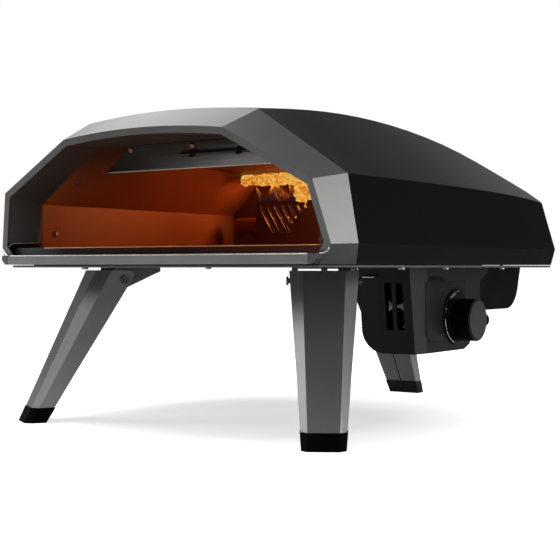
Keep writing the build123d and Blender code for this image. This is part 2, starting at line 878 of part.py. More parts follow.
# Visor lining: sheet funnel from behind the flange ring to the liner's mouth, open below its hem
with BuildPart() as lining:
    for inset in (0, liner_sheet):
        lining_points = [
            (liner_half - inset, 0),
            (liner_half - inset, hood_waist_rise),
            (liner_half - inset, liner_floor - hood_floor + liner_side_rise),
            (liner_ridge_half - inset, liner_floor - hood_floor + liner_ridge_rise - inset),
        ]
        with BuildSketch(flange_plane.offset(-visor_sheet)):
            arch_outline(flange_points, flange_crown)
            offset(amount=lining_hem - flange_width + liner_sheet - inset)
        with BuildSketch(back_plane):
            arch_outline(lining_points, lining_crown)
        loft(ruled=True, mode=Mode.SUBTRACT if inset > 0 else Mode.ADD)
    split(bisect_by=Plane.XY.offset(hood_floor + lining_rise), keep=Keep.TOP)
save("visor_lining", lining.part)


def dome_screw(plane, radius, head_radius, head, length):
    """Round-head screw: its head stands on the plane and its shank goes below it."""
    with BuildPart() as screw:
        with BuildSketch(plane):
            Circle(head_radius)
        extrude(amount=head)
        fillet(screw.edges().sort_by(Axis(plane.origin, plane.z_dir))[-1], radius=head * dome_share)
        with BuildSketch(plane):
            Circle(radius)
        extrude(amount=-length)
    return screw.part


save("liner_screws", Compound(children=[
    dome_screw(plane, liner_screw_radius, liner_screw_head_radius, liner_screw_head, liner_screw_length)
    for plane in liner_screw_planes
]))

# Insulation: board under the liner's floor and blanket round its sides and roof
with BuildPart() as board:
    board_front = visor_back_y + liner_sheet + moving_gap
    with BuildSketch(Plane.XY.offset(tray_top)):
        with Locations((0, (board_front + liner_back_y) / 2)):
            Rectangle(2 * liner_half, liner_back_y - board_front)
        with Locations((pipe_x, pipe_y)):
            Circle(pipe_radius + hole_gap, mode=Mode.SUBTRACT)
    extrude(amount=board_thickness)
save("insulation_board", board.part)

with BuildPart() as blanket:
    add(liner_loft(visor_back_y, liner_back_y, moving_gap + blanket_thickness))
    add(liner_loft(visor_back_y, liner_back_y, moving_gap), mode=Mode.SUBTRACT)
    split(bisect_by=Plane.XY.offset(liner_floor), keep=Keep.TOP)
    split(bisect_by=Plane.XZ.offset(-visor_back_y - blanket_front_gap), keep=Keep.BOTTOM)
save("insulation_blanket", blanket.part)

# Baking stone, which lies on the liner's floor and slides out over the sill
stone_front = visor_back_y + stone_front_gap
with BuildPart() as stone:
    with BuildSketch(Plane.XY.offset(liner_inside)):
        with Locations((0, stone_front + stone_depth / 2)):
            Rectangle(2 * (liner_half - liner_sheet - stone_side_gap), stone_depth)
    extrude(amount=stone_thickness)
    chamfer(stone.faces().sort_by(Axis.Z)[-1].edges(), length=stone_bevel)
save("baking_stone", stone.part)

# Burner tube with its row of ports, its brackets, and the guard in front of it
burner_z = liner_inside + burner_rise
wall_face_y = liner_back_y - liner_sheet
with BuildPart() as burner:
    with BuildSketch(Plane((-burner_half, pipe_y, burner_z), z_dir=(1, 0, 0))):
        Circle(burner_radius)
    extrude(amount=2 * burner_half)
    with BuildSketch(Plane((-burner_half + burner_wall, pipe_y, burner_z), z_dir=(1, 0, 0))):
        Circle(burner_radius - burner_wall)
    extrude(amount=2 * (burner_half - burner_wall), mode=Mode.SUBTRACT)
    with BuildSketch(Plane((0, pipe_y, burner_z))):
        with GridLocations(2 * (burner_half - burner_radius) / port_count, 0, port_count, 1):
            Circle(port_radius)
    extrude(amount=2 * burner_radius, mode=Mode.SUBTRACT)
    with BuildSketch(Plane((pipe_x, pipe_y, burner_z))):
        Circle(pipe_radius)
    extrude(amount=-2 * burner_radius, mode=Mode.SUBTRACT)
save("burner_tube", burner.part)

bracket_seat = burner_z - burner_radius
with BuildPart() as burner_brackets:
    for x in (-burner_bracket_x, burner_bracket_x):
        with BuildSketch(side_plane(x - burner_bracket_width / 2)):
            Polygon(
                (pipe_y - burner_radius / 2, bracket_seat),
                (wall_face_y - bracket_sheet, bracket_seat),
                (wall_face_y - bracket_sheet, bracket_seat + burner_radius),
                (wall_face_y, bracket_seat + burner_radius),
                (wall_face_y, bracket_seat - bracket_sheet),
                (pipe_y - burner_radius / 2, bracket_seat - bracket_sheet),
                align=None,
            )
        extrude(amount=burner_bracket_width)
save("burner_brackets", burner_brackets.part)

guard_y = pipe_y - burner_radius - guard_gap - sheet
guard_top = liner_inside + guard_height
with BuildPart() as guard:
    with BuildSketch(side_plane(-guard_half)):
        Polygon(
            (guard_y, liner_inside),
            (guard_y + guard_foot, liner_inside),
            (guard_y + guard_foot, liner_inside + sheet),
            (guard_y + sheet, liner_inside + sheet),
            (guard_y + sheet, guard_top),
            (guard_y, guard_top),
            align=None,
        )
    extrude(amount=2 * guard_half)
    with BuildSketch(upright_plane(guard_y - cut_over, guard_top - guard_slot_margin)):
        for side in (-1, 1):
            for index, share in enumerate(guard_slot_shares):
                drop = guard_slot_drop * share
                shift = drop * tan(radians(guard_slot_lean))
                top_x = guard_half - guard_slot_margin - index * guard_slot_pitch
                with Locations((side * (top_x - shift / 2), -drop / 2)):
                    if drop > 0:
                        SlotCenterToCenter(hypot(drop, shift), guard_slot_width,
                                           rotation=90 - side * guard_slot_lean)
                    else:
                        Circle(guard_slot_width / 2)
    extrude(amount=-2 * cut_over, mode=Mode.SUBTRACT)
save("burner_guard", guard.part)


def wall_rod(x, z):
    """Ceramic rod on the liner's back wall with a bare metal tip over the burner."""
    with BuildPart() as rod:
        with BuildSketch(upright_plane(wall_face_y, z)):
            with Locations((x, 0)):
                Circle(electrode_ceramic_radius)
        extrude(amount=burner_wall_gap - burner_radius)
        with BuildSketch(upright_plane(wall_face_y, z)):
            with Locations((x, 0)):
                Circle(electrode_radius)
        extrude(amount=burner_wall_gap + burner_radius / 2)
    return rod.part


electrode_z = burner_z + burner_radius + electrode_lift
save("spark_electrode", wall_rod(-electrode_x, electrode_z))
save("flame_sensor", wall_rod(electrode_x, electrode_z))

# Baffle: bent sheet under the roof of the mouth, with its screws, stay rod and rod brackets
roof_z = liner_floor + liner_ridge_rise - liner_sheet
baffle_top_z = roof_z - baffle_roof_gap
baffle_front = visor_back_y + baffle_setback
baffle_length = hypot(baffle_slope, baffle_drop)
baffle_down = Vector(0, baffle_slope, -baffle_drop) / baffle_length
baffle_out = Vector(0, -baffle_drop, -baffle_slope) / baffle_length
baffle_corner = Vector(0, baffle_front, baffle_top_z)
baffle_screw_planes = [
    Plane(baffle_corner + baffle_down * baffle_screw_drop + Vector(x, 0, 0), z_dir=baffle_out)
    for x in (-baffle_screw_left, baffle_screw_right)
]
behind = baffle_out * -sheet
with BuildPart() as baffle:
    with BuildSketch(side_plane(-baffle_half)):
        low = baffle_corner + baffle_down * baffle_length
        low_back = low + behind
        Polygon(
            (baffle_front, baffle_top_z),
            (low.Y, low.Z),
            (low_back.Y, low_back.Z),
            (baffle_front + 2 * sheet, baffle_top_z - sheet),
            (baffle_front + baffle_flange, baffle_top_z - sheet),
            (baffle_front + baffle_flange, baffle_top_z),
            align=None,
        )
    extrude(amount=2 * baffle_half)
    with BuildSketch(upright_plane(baffle_front - cut_over, baffle_top_z)):
        Polygon(
            (-baffle_half, -baffle_drop - cut_over),
            (baffle_half, -baffle_drop - cut_over),
            (baffle_half, -baffle_drop),
            (baffle_top_right, 0),
            (baffle_top_right, cut_over),
            (-baffle_top_left, cut_over),
            (-baffle_top_left, 0),
            (-baffle_half, -baffle_drop),
            align=None,
        )
    extrude(amount=-2 * (baffle_flange + baffle_slope), mode=Mode.INTERSECT)
    for plane in baffle_screw_planes:
        with BuildSketch(plane):
            Circle(liner_screw_radius)
        extrude(amount=2 * sheet, both=True, mode=Mode.SUBTRACT)
save("heat_baffle", baffle.part)
save("baffle_screws", Compound(children=[
    dome_screw(plane, liner_screw_radius, liner_screw_head_radius, liner_screw_head, baffle_screw_length)
    for plane in baffle_screw_planes
]))

rod_centre = baffle_corner + baffle_down * rod_drop + baffle_out * rod_proud
with BuildPart() as rod:
    with BuildSketch(Plane((rod_start, rod_centre.Y, rod_centre.Z), z_dir=(1, 0, 0))):
        Circle(rod_radius)
    extrude(amount=rod_length)
save("baffle_rod", rod.part)


def rod_bracket(x):
    """Three-cornered bracket that stands on the baffle and holds the rod."""
    base = baffle_corner + baffle_down * rod_drop
    low = base + baffle_down * rod_bracket_reach
    high = base - baffle_down * rod_bracket_reach
    peak = base + baffle_out * (rod_proud + 3 * rod_radius)
    with BuildPart() as piece:
        with BuildSketch(side_plane(x - rod_bracket_half)):
            Polygon((low.Y, low.Z), (high.Y, high.Z), (peak.Y, peak.Z), align=None)
            with Locations((rod_centre.Y, rod_centre.Z)):
                Circle(rod_radius, mode=Mode.SUBTRACT)
        extrude(amount=2 * rod_bracket_half)
    return piece.part


save("rod_brackets", Compound(children=[
    rod_bracket(rod_start + rod_length * share) for share in rod_bracket_shares
]))

# Control housing: hollow cover under the tray, open at the top
dial_z = tray_height - dial_drop
housing_bottom = tray_height - housing_drop
housing_back = housing_front + housing_lean + housing_length


def housing_solid(inset):
    """Outer form of the control housing, drawn in by the inset and then carried past the tray."""
    top = tray_height + (cut_over if inset > 0 else 0)
    with BuildPart() as solid:
        with BuildSketch(side_plane(housing_left + inset)):
            Polygon(
                (housing_front, tray_height),
                (housing_front + housing_lean, housing_bottom),
                (housing_back - housing_heel, housing_bottom),
                (housing_back, housing_bottom + housing_heel_rise),
                (housing_back + housing_back_length, housing_bottom + housing_back_rise),
                (housing_back + housing_back_length, tray_height - housing_back_top),
                (housing_back + housing_back_length + housing_top_length, tray_height - housing_top_rise),
                (housing_back + housing_back_length + housing_top_length, tray_height),
                align=None,
            )
            if inset > 0:
                offset(amount=-inset, kind=Kind.INTERSECTION)
        extrude(amount=housing_right - housing_left - 2 * inset)
        low_edges = solid.edges().filter_by(Axis.Y).group_by(Axis.Z)[0]
        fillet(low_edges.sort_by(Axis.X)[0], radius=housing_corner_radius - inset)
        if inset > 0:
            extrude(solid.faces().sort_by(Axis.Z)[-1], amount=2 * inset)
        with BuildSketch(Plane.XY.offset(housing_bottom - cut_over)):
            Polygon(
                (housing_right - housing_facet_depth - inset, housing_front - cut_over),
                (housing_right - housing_facet_depth - inset, housing_front),
                (housing_right - inset, housing_front + housing_facet_length),
                (housing_right + cut_over, housing_front + housing_facet_length),
                (housing_right + cut_over, housing_front - cut_over),
                align=None,
            )
        extrude(amount=housing_drop + 3 * cut_over, mode=Mode.SUBTRACT)
    return solid.part


air_slot_z = tray_height - air_slot_drop
lug_spots = [(housing_left - lug_size / 2, housing_front + housing_length * share) for share in lug_shares]
with BuildPart() as housing:
    add(housing_solid(0))
    with BuildSketch(Plane.XY.offset(tray_height)):
        with Locations(*lug_spots):
            Rectangle(lug_size, lug_size)
    extrude(amount=-housing_wall)
    add(housing_solid(housing_wall), mode=Mode.SUBTRACT)
    with BuildSketch(upright_plane(housing_front - cut_over, air_slot_z)):
        with GridLocations(air_slot_pitch, 0, 2, 1):
            with Locations((air_slot_x, 0)):
                Rectangle(air_slot_width, air_slot_height)
    extrude(amount=-housing_lean - housing_wall - cut_over, mode=Mode.SUBTRACT)
    with BuildSketch(Plane((housing_right + cut_over, dial_y, dial_z), z_dir=(-1, 0, 0))):
        Circle(plunger_radius + hole_gap)
    extrude(amount=housing_wall + 2 * cut_over, mode=Mode.SUBTRACT)
    with BuildSketch(upright_plane(inlet_y, tray_height - inlet_drop)):
        with Locations((inlet_x, 0)):
            Circle(inlet_radius + hole_gap)
    extrude(amount=-inlet_length, mode=Mode.SUBTRACT)
    with BuildSketch(Plane.XY.offset(tray_height - 2 * housing_wall)):
        with Locations(*lug_spots):
            Circle(tray_screw_radius)
    extrude(amount=2 * housing_wall, mode=Mode.SUBTRACT)
save("control_housing", housing.part)

with BuildPart() as shutter:
    with BuildSketch(upright_plane(housing_front + housing_lean + shutter_gap, tray_height)):
        with Locations((air_slot_x, -shutter_height / 2)):
            Rectangle(2 * shutter_half, shutter_height)
        with Locations((air_slot_x, -air_slot_drop)):
            with Locations(*[(-shutter_hole_shift, side * shutter_hole_pitch / 2) for side in (-1, 1)]):
                Circle(shutter_hole_radius, mode=Mode.SUBTRACT)
    extrude(amount=-sheet)
save("air_shutter", shutter.part)

# Rear housing behind the control housing
back_x = housing_back + housing_back_length + rear_housing_gap


def rear_housing_solid(inset):
    """Outer form of the rear housing, drawn in by the inset and then carried past the tray."""
    with BuildPart() as solid:
        with BuildSketch(side_plane(rear_housing_left + inset)):
            Polygon(
                (back_x, tray_height - rear_housing_drop),
                (back_x, tray_height - housing_back_top - rear_housing_gap),
                (back_x + housing_top_length, tray_height - housing_top_rise - rear_housing_gap),
                (back_x + housing_top_length, tray_height),
                (rear_housing_end, tray_height),
                (rear_housing_end - rear_housing_lean, tray_height - rear_housing_drop),
                align=None,
            )
            if inset > 0:
                offset(amount=-inset, kind=Kind.INTERSECTION)
        extrude(amount=rear_housing_right - rear_housing_left - 2 * inset)
        low_edges = solid.edges().filter_by(Axis.X).group_by(Axis.Z)[0]
        fillet(low_edges.sort_by(Axis.Y)[-1], radius=rear_housing_corner - inset)
        if inset > 0:
            extrude(solid.faces().sort_by(Axis.Z)[-1], amount=2 * inset)
    return solid.part


rear_lug_spots = [
    (rear_housing_left - lug_size / 2, back_x + (rear_housing_end - back_x) * share)
    for share in rear_lug_shares
]
with BuildPart() as rear_housing:
    add(rear_housing_solid(0))
    with BuildSketch(Plane.XY.offset(tray_height)):
        with Locations(*rear_lug_spots):
            Rectangle(lug_size, lug_size)
    extrude(amount=-housing_wall)
    add(rear_housing_solid(housing_wall), mode=Mode.SUBTRACT)
    with BuildSketch(Plane.XY.offset(tray_height - 2 * housing_wall)):
        with Locations(*rear_lug_spots):
            Circle(tray_screw_radius)
    extrude(amount=2 * housing_wall, mode=Mode.SUBTRACT)
save("rear_housing", rear_housing.part)
save("housing_screws", Compound(children=[
    upright_screw(x, y, tray_height - housing_wall, tray_screw_radius, tray_screw_head_radius,
                  tray_screw_head, housing_wall)
    for x, y in [*lug_spots, *rear_lug_spots]
]))

# Gas valve with plunger and stem, then the dial's bezel and the knob; the bezel's rim stands a little higher
bonnet_end = housing_right - housing_wall
plunger_start = housing_right - plunger_length + plunger_inset
plunger_bore = plunger_start - push_travel - plunger_inset


def dial_plane(x):
    """Plane across the dial's axis."""
    return Plane((x, dial_y, dial_z), z_dir=(1, 0, 0))


with BuildPart() as valve:
    with BuildSketch(dial_plane(valve_left)):
        Circle(valve_radius)
    extrude(amount=valve_length)
    with BuildSketch(dial_plane(valve_left)):
        Circle(bonnet_radius)
    extrude(amount=bonnet_end - valve_left)
    with BuildSketch(Plane((pipe_x, dial_y, dial_z))):
        Circle(port_boss_radius)
    extrude(amount=valve_radius + port_boss)
    with BuildSketch(upright_plane(dial_y, tray_height - inlet_drop)):
        with Locations((inlet_x, 0)):
            Circle(port_boss_radius)
    extrude(amount=-valve_radius - port_boss)
    with BuildSketch(dial_plane(plunger_bore)):
        Circle(plunger_radius + running_gap)
    extrude(amount=housing_right - plunger_bore, mode=Mode.SUBTRACT)
    with BuildSketch(dial_plane(plunger_bore)):
        Circle(stem_radius + running_gap)
    extrude(amount=-stem_tail - push_travel - plunger_inset, mode=Mode.SUBTRACT)
save("gas_valve", valve.part)

with BuildPart() as plunger:
    with BuildSketch(dial_plane(plunger_start)):
        Circle(plunger_radius)
        Circle(stem_radius + running_gap, mode=Mode.SUBTRACT)
    extrude(amount=plunger_length)
save("valve_plunger", plunger.part)

knob_start = housing_right + bezel_thickness + knob_gap
stem_start = plunger_bore - stem_tail
stem_end = knob_start + knob_length - knob_cap
with BuildPart() as stem:
    with BuildSketch(dial_plane(stem_start)):
        Circle(stem_radius)
    extrude(amount=stem_end - stem_start)
save("valve_stem", stem.part)

with BuildPart() as bezel:
    with BuildSketch(Plane((housing_right, dial_y, dial_z + bezel_lift), z_dir=(1, 0, 0))):
        Circle(bezel_radius)
    extrude(amount=bezel_thickness)
    with BuildSketch(dial_plane(housing_right)):
        Circle(bezel_inner_radius)
    extrude(amount=bezel_thickness, mode=Mode.SUBTRACT)
    chamfer(bezel.edges().group_by(Axis.X)[-1], length=bezel_thickness / 3)
save("dial_bezel", bezel.part)

with BuildPart() as knob:
    with BuildSketch(dial_plane(knob_start)):
        Circle(knob_radius)
    extrude(amount=knob_length)
    chamfer(knob.edges().group_by(Axis.X)[-1], length=knob_radius - knob_face_radius)
    with BuildSketch(dial_plane(knob_start)):
        Circle(stem_radius + running_gap)
    extrude(amount=stem_end - knob_start, mode=Mode.SUBTRACT)
save("gas_knob", knob.part)

# Feed pipe from the valve up through tray, board and liner to the burner
pipe_low = dial_z + valve_radius + port_boss
pipe_level = pipe_low + pipe_rise
with BuildPart() as pipe:
    with BuildLine():
        FilletPolyline(
            (pipe_x, dial_y, pipe_low),
            (pipe_x, dial_y, pipe_level),
            (pipe_x, pipe_y, pipe_level),
            (pipe_x, pipe_y, burner_z - burner_radius + burner_wall),
            radius=pipe_bend_radius,
        )
    with BuildSketch(Plane((pipe_x, dial_y, pipe_low))):
        Circle(pipe_radius)
    sweep()
save("feed_pipe", pipe.part)

# Gas inlet through the housing's back, and its cap
inlet_face = dial_y + valve_radius + port_boss
inlet_plane = upright_plane(inlet_face, tray_height - inlet_drop)
with BuildPart() as inlet:
    with BuildSketch(inlet_plane):
        with Locations((inlet_x, 0)):
            Circle(pipe_radius)
    extrude(amount=inlet_face - inlet_y)
    with BuildSketch(upright_plane(inlet_y, tray_height - inlet_drop)):
        with Locations((inlet_x, 0)):
            Circle(inlet_radius)
    extrude(amount=-inlet_length)
save("gas_inlet", inlet.part)

cap_y = inlet_y + inlet_length + inlet_cap_wall - inlet_cap_length
with BuildPart() as inlet_cap:
    with BuildSketch(upright_plane(cap_y, tray_height - inlet_drop)):
        with Locations((inlet_x, 0)):
            Circle(inlet_cap_radius)
    extrude(amount=-inlet_cap_length)
    fillet(inlet_cap.edges().group_by(Axis.Y)[-1], radius=inlet_cap_wall)
    with BuildSketch(upright_plane(cap_y, tray_height - inlet_drop)):
        with Locations((inlet_x, 0)):
            Circle(inlet_radius)
    extrude(amount=inlet_cap_wall - inlet_cap_length, mode=Mode.SUBTRACT)
save("inlet_cap", inlet_cap.part)

# Ignition module on the housing's inner wall
with BuildPart() as module:
    with BuildSketch(side_plane(housing_left + housing_wall)):
        with Locations((dial_y - module_setback, dial_z + module_height / 2)):
            Rectangle(module_depth, module_height)
    extrude(amount=module_width)
save("ignition_module", module.part)
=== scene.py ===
"""Looks of the portable pizza oven: materials, small details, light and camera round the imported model."""

import json
import random
from math import cos, pi, radians, sin, tau

import bmesh
import bpy
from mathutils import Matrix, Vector


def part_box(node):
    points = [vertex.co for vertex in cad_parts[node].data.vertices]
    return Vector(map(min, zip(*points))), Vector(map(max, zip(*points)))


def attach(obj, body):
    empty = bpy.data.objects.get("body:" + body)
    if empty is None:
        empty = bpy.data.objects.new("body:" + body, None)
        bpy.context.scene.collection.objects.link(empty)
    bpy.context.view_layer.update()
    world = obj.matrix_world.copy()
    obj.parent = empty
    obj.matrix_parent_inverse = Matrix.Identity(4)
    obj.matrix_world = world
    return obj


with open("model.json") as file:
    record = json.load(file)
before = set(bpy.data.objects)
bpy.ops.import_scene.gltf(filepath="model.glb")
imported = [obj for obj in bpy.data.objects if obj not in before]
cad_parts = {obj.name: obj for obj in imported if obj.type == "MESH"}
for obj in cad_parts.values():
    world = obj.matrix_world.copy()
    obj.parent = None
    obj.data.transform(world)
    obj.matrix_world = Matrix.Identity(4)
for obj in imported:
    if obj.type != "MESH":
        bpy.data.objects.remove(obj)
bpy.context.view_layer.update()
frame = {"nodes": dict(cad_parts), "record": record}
nodes = frame["nodes"]
scene = bpy.context.scene
chance = random.Random(7)


# Materials

def new_material(name):
    """An empty material with its output, shader and object coordinates."""
    material = bpy.data.materials.new(name)
    material.use_nodes = True
    tree = material.node_tree
    tree.nodes.clear()
    output = tree.nodes.new("ShaderNodeOutputMaterial")
    shader = tree.nodes.new("ShaderNodeBsdfPrincipled")
    tree.links.new(shader.outputs["BSDF"], output.inputs["Surface"])
    coords = tree.nodes.new("ShaderNodeTexCoord").outputs["Object"]
    return material, tree, shader, coords


def stretched(tree, coords, scale):
    """The coordinates scaled by a different amount along each axis."""
    mapping = tree.nodes.new("ShaderNodeMapping")
    mapping.inputs["Scale"].default_value = scale
    tree.links.new(coords, mapping.inputs["Vector"])
    return mapping.outputs["Vector"]


def along(tree, coords, axis):
    """The place along one axis, in metres."""
    parts = tree.nodes.new("ShaderNodeSeparateXYZ")
    tree.links.new(coords, parts.inputs["Vector"])
    return parts.outputs[axis]


def noise(tree, coords, scale, detail=3.0, roughness=0.55, distortion=0.0):
    """A noise value at so many features in a metre."""
    texture = tree.nodes.new("ShaderNodeTexNoise")
    texture.inputs["Scale"].default_value = scale
    texture.inputs["Detail"].default_value = detail
    texture.inputs["Roughness"].default_value = roughness
    texture.inputs["Distortion"].default_value = distortion
    tree.links.new(coords, texture.inputs["Vector"])
    return texture.outputs["Fac"]


def ramp(tree, value, stops):
    """A colour that follows the value through (place, colour) stops."""
    node = tree.nodes.new("ShaderNodeValToRGB")
    band = node.color_ramp
    while len(band.elements) < len(stops):
        band.elements.new(0.5)
    for element, (place, colour) in zip(band.elements, stops):
        element.position = place
        element.color = (*colour, 1)
    tree.links.new(value, node.inputs["Fac"])
    return node.outputs["Color"]


def spread(tree, value, low, high, start=0.25, end=0.75):
    """The value between start and end turned into low to high."""
    node = tree.nodes.new("ShaderNodeMapRange")
    for name, number in (("From Min", start), ("From Max", end), ("To Min", low), ("To Max", high)):
        node.inputs[name].default_value = number
    tree.links.new(value, node.inputs["Value"])
    return node.outputs["Result"]


def combined(tree, first, second, operation):
    """Two values joined by one sum. The second is a socket or a number."""
    node = tree.nodes.new("ShaderNodeMath")
    node.operation = operation
    tree.links.new(first, node.inputs[0])
    if isinstance(second, bpy.types.NodeSocket):
        tree.links.new(second, node.inputs[1])
    else:
        node.inputs[1].default_value = second
    return node.outputs[0]


def blended(tree, factor, first, second, kind="MIX"):
    """Two colours mixed. Each is a socket or a plain colour, and the factor a socket or a number."""
    node = tree.nodes.new("ShaderNodeMix")
    node.data_type = "RGBA"
    node.blend_type = kind
    for socket, value in ((node.inputs["Factor"], factor), (node.inputs[6], first), (node.inputs[7], second)):
        if isinstance(value, bpy.types.NodeSocket):
            tree.links.new(value, socket)
        elif isinstance(value, tuple):
            socket.default_value = (*value, 1)
        else:
            socket.default_value = value
    return node.outputs[2]


def bumped(tree, shader, height, strength, distance):
    """A fine relief on the shader from a height value, in metres."""
    node = tree.nodes.new("ShaderNodeBump")
    node.inputs["Strength"].default_value = strength
    node.inputs["Distance"].default_value = distance
    tree.links.new(height, node.inputs["Height"])
    tree.links.new(node.outputs["Normal"], shader.inputs["Normal"])


def shade(colour, factor):
    """The colour made lighter or darker."""
    return tuple(min(1.0, channel * factor) for channel in colour)


def coated(name, colour, rough, metallic=0.0, grain=2600, relief=0.00003, cloud=0.08, specular=0.5):
    """Powder coat or moulded plastic: fine grain, faint clouds in colour and sheen."""
    material, tree, shader, coords = new_material(name)
    fine = noise(tree, coords, grain, 2.0, 0.6)
    broad = noise(tree, coords, 7.0, 4.0, 0.6)
    clouds = ramp(tree, broad, [(0.3, shade(colour, 1 - cloud)), (0.7, shade(colour, 1 + cloud))])
    specks = ramp(tree, fine, [(0.35, (0.86, 0.86, 0.86)), (0.65, (1.0, 1.0, 1.0))])
    tree.links.new(blended(tree, 1.0, clouds, specks, "MULTIPLY"), shader.inputs["Base Color"])
    tree.links.new(spread(tree, broad, rough * 0.9, rough * 1.12), shader.inputs["Roughness"])
    shader.inputs["Metallic"].default_value = metallic
    shader.inputs["Specular IOR Level"].default_value = specular
    bumped(tree, shader, fine, 0.5, relief)
    return material


def brushed(name, colour, rough, scale, metallic=1.0, warmth=0.0, relief=0.00002):
    """Rolled or brushed steel: fine lines along one direction, soft smears and heat tint."""
    material, tree, shader, coords = new_material(name)
    lines = noise(tree, stretched(tree, coords, scale), 1.0, 3.0, 0.65)
    smears = noise(tree, coords, 11.0, 5.0, 0.62, 0.6)
    tint = tuple(c * t for c, t in zip(colour, (1 + 0.35 * warmth, 1 - 0.22 * warmth, 1 - 0.55 * warmth)))
    base = ramp(tree, smears, [(0.3, shade(colour, 0.82)), (0.55, colour), (0.75, tint)])
    streaks = ramp(tree, lines, [(0.3, (0.78, 0.78, 0.78)), (0.7, (1.0, 1.0, 1.0))])
    tree.links.new(blended(tree, 1.0, base, streaks, "MULTIPLY"), shader.inputs["Base Color"])
    tree.links.new(spread(tree, lines, rough * 0.8, rough * 1.25), shader.inputs["Roughness"])
    shader.inputs["Metallic"].default_value = metallic
    bumped(tree, shader, lines, 0.4, relief)
    return material


def ceramic(name, light, dark, grain, relief, fibres=False):
    """Stone, board, blanket or porcelain: pits, specks and, in a blanket, crossing fibres."""
    material, tree, shader, coords = new_material(name)
    broad = noise(tree, coords, 24.0, 5.0, 0.62)
    grains = tree.nodes.new("ShaderNodeTexVoronoi")
    grains.inputs["Scale"].default_value = grain
    tree.links.new(coords, grains.inputs["Vector"])
    speck = spread(tree, grains.outputs["Distance"], 1.0, 0.0, 0.05, 0.45)
    base = ramp(tree, broad, [(0.3, dark), (0.7, light)])
    tree.links.new(blended(tree, speck, base, shade(dark, 0.6)), shader.inputs["Base Color"])
    shader.inputs["Roughness"].default_value = 0.88
    shader.inputs["Specular IOR Level"].default_value = 0.25
    if fibres:
        height = noise(tree, stretched(tree, coords, (60, 900, 300)), 1.0, 5.0)
    else:
        height = noise(tree, coords, grain, 5.0)
    bumped(tree, shader, height, 0.7, relief)
    return material


def lining_painted_shade(name):
    """Near-black coat as painted shade, with the liner's painted firelight behind a line that slants with
    height.
    """
    material, tree, shader, coords = new_material(name)
    fine = noise(tree, coords, 2600, 2.0, 0.6)
    broad = noise(tree, coords, 7.0, 4.0, 0.6)
    slant = combined(tree, combined(tree, along(tree, coords, "Z"), 0.208, "SUBTRACT"), 0.108, "MULTIPLY")
    level = combined(tree, along(tree, coords, "Y"), slant, "SUBTRACT")
    # Painted firelight behind the slanting line, the same orange as the liner's.
    tint = spread(tree, level, 0.0, 1.0, -0.2720, -0.2712)
    dark = ramp(tree, broad, [(0.3, (0.024, 0.0165, 0.0138)), (0.7, (0.028, 0.0195, 0.0162))])
    tree.links.new(blended(tree, tint, dark, (0.150, 0.034, 0.010)), shader.inputs["Base Color"])
    shader.inputs["Roughness"].default_value = 0.50
    shader.inputs["Metallic"].default_value = 0.2
    bumped(tree, shader, fine, 0.5, 0.00003)
    return material


def shell_top_painted_light(name):
    """The shell's black coat on its upper faces, lighter toward the rear as painted light."""
    material, tree, shader, coords = new_material(name)
    fine = noise(tree, coords, 2600, 2.0, 0.6)
    drift = combined(tree, noise(tree, coords, 5.0, 4.0, 0.6), 0.10, "MULTIPLY")
    place = combined(tree, spread(tree, along(tree, coords, "Y"), 0.0, 1.0, -0.20, 0.24), drift, "ADD")
    base = ramp(tree, place, [
        (0.05, (0.0075, 0.0075, 0.0077)), (0.40, (0.021, 0.021, 0.0213)), (0.70, (0.050, 0.050, 0.0503)),
        (1.0, (0.085, 0.085, 0.0853)),
    ])
    tree.links.new(base, shader.inputs["Base Color"])
    shader.inputs["Roughness"].default_value = 0.50
    shader.inputs["Specular IOR Level"].default_value = 0.12
    bumped(tree, shader, fine, 0.5, 0.00003)
    return material


def leg_coat_painted_light(name):
    """Grey powder coat of the legs, a little lighter toward the foot as painted light."""
    material, tree, shader, coords = new_material(name)
    fine = noise(tree, coords, 2600, 2.0, 0.6)
    height = spread(tree, along(tree, coords, "Z"), 0.0, 1.0, 0.02, 0.17)
    drift = combined(tree, noise(tree, coords, 9.0, 4.0, 0.6), 0.16, "MULTIPLY")
    base = ramp(tree, combined(tree, height, drift, "ADD"), [
        (0.05, (0.245, 0.245, 0.243)), (0.45, (0.172, 0.172, 0.171)), (1.0, (0.124, 0.124, 0.123)),
    ])
    specks = ramp(tree, fine, [(0.35, (0.86, 0.86, 0.86)), (0.65, (1.0, 1.0, 1.0))])
    tree.links.new(blended(tree, 1.0, base, specks, "MULTIPLY"), shader.inputs["Base Color"])
    shader.inputs["Roughness"].default_value = 0.33
    shader.inputs["Metallic"].default_value = 0.6
    bumped(tree, shader, fine, 0.5, 0.00003)
    return material


def baffle_painted_reflection(name):
    """Dark sheet of the baffle: near black at its left, with a painted reflection that turns dull grey toward
    the lower right edge.
    """
    material, tree, shader, coords = new_material(name)
    lines = noise(tree, stretched(tree, coords, (6, 260, 700)), 1.0, 4.0, 0.65, 0.4)
    across = spread(tree, along(tree, coords, "X"), 0.0, 1.0, -0.126, 0.126)
    down = spread(tree, along(tree, coords, "Z"), 1.0, 0.12, 0.3046, 0.3326)
    streaks = combined(tree, lines, 0.35, "MULTIPLY")
    level = combined(tree, combined(tree, across, down, "MULTIPLY"), streaks, "ADD")
    base = ramp(tree, level, [
        (0.15, (0.014, 0.007, 0.004)), (0.38, (0.030, 0.026, 0.022)), (0.62, (0.110, 0.110, 0.102)),
        (0.85, (0.28, 0.27, 0.26)), (1.0, (0.34, 0.33, 0.32)),
    ])
    tree.links.new(base, shader.inputs["Base Color"])
    tree.links.new(spread(tree, lines, 0.34, 0.5), shader.inputs["Roughness"])
    shader.inputs["Metallic"].default_value = 0.7
    shader.inputs["Specular IOR Level"].default_value = 0.1
    bumped(tree, shader, lines, 0.3, 0.00003)
    return material


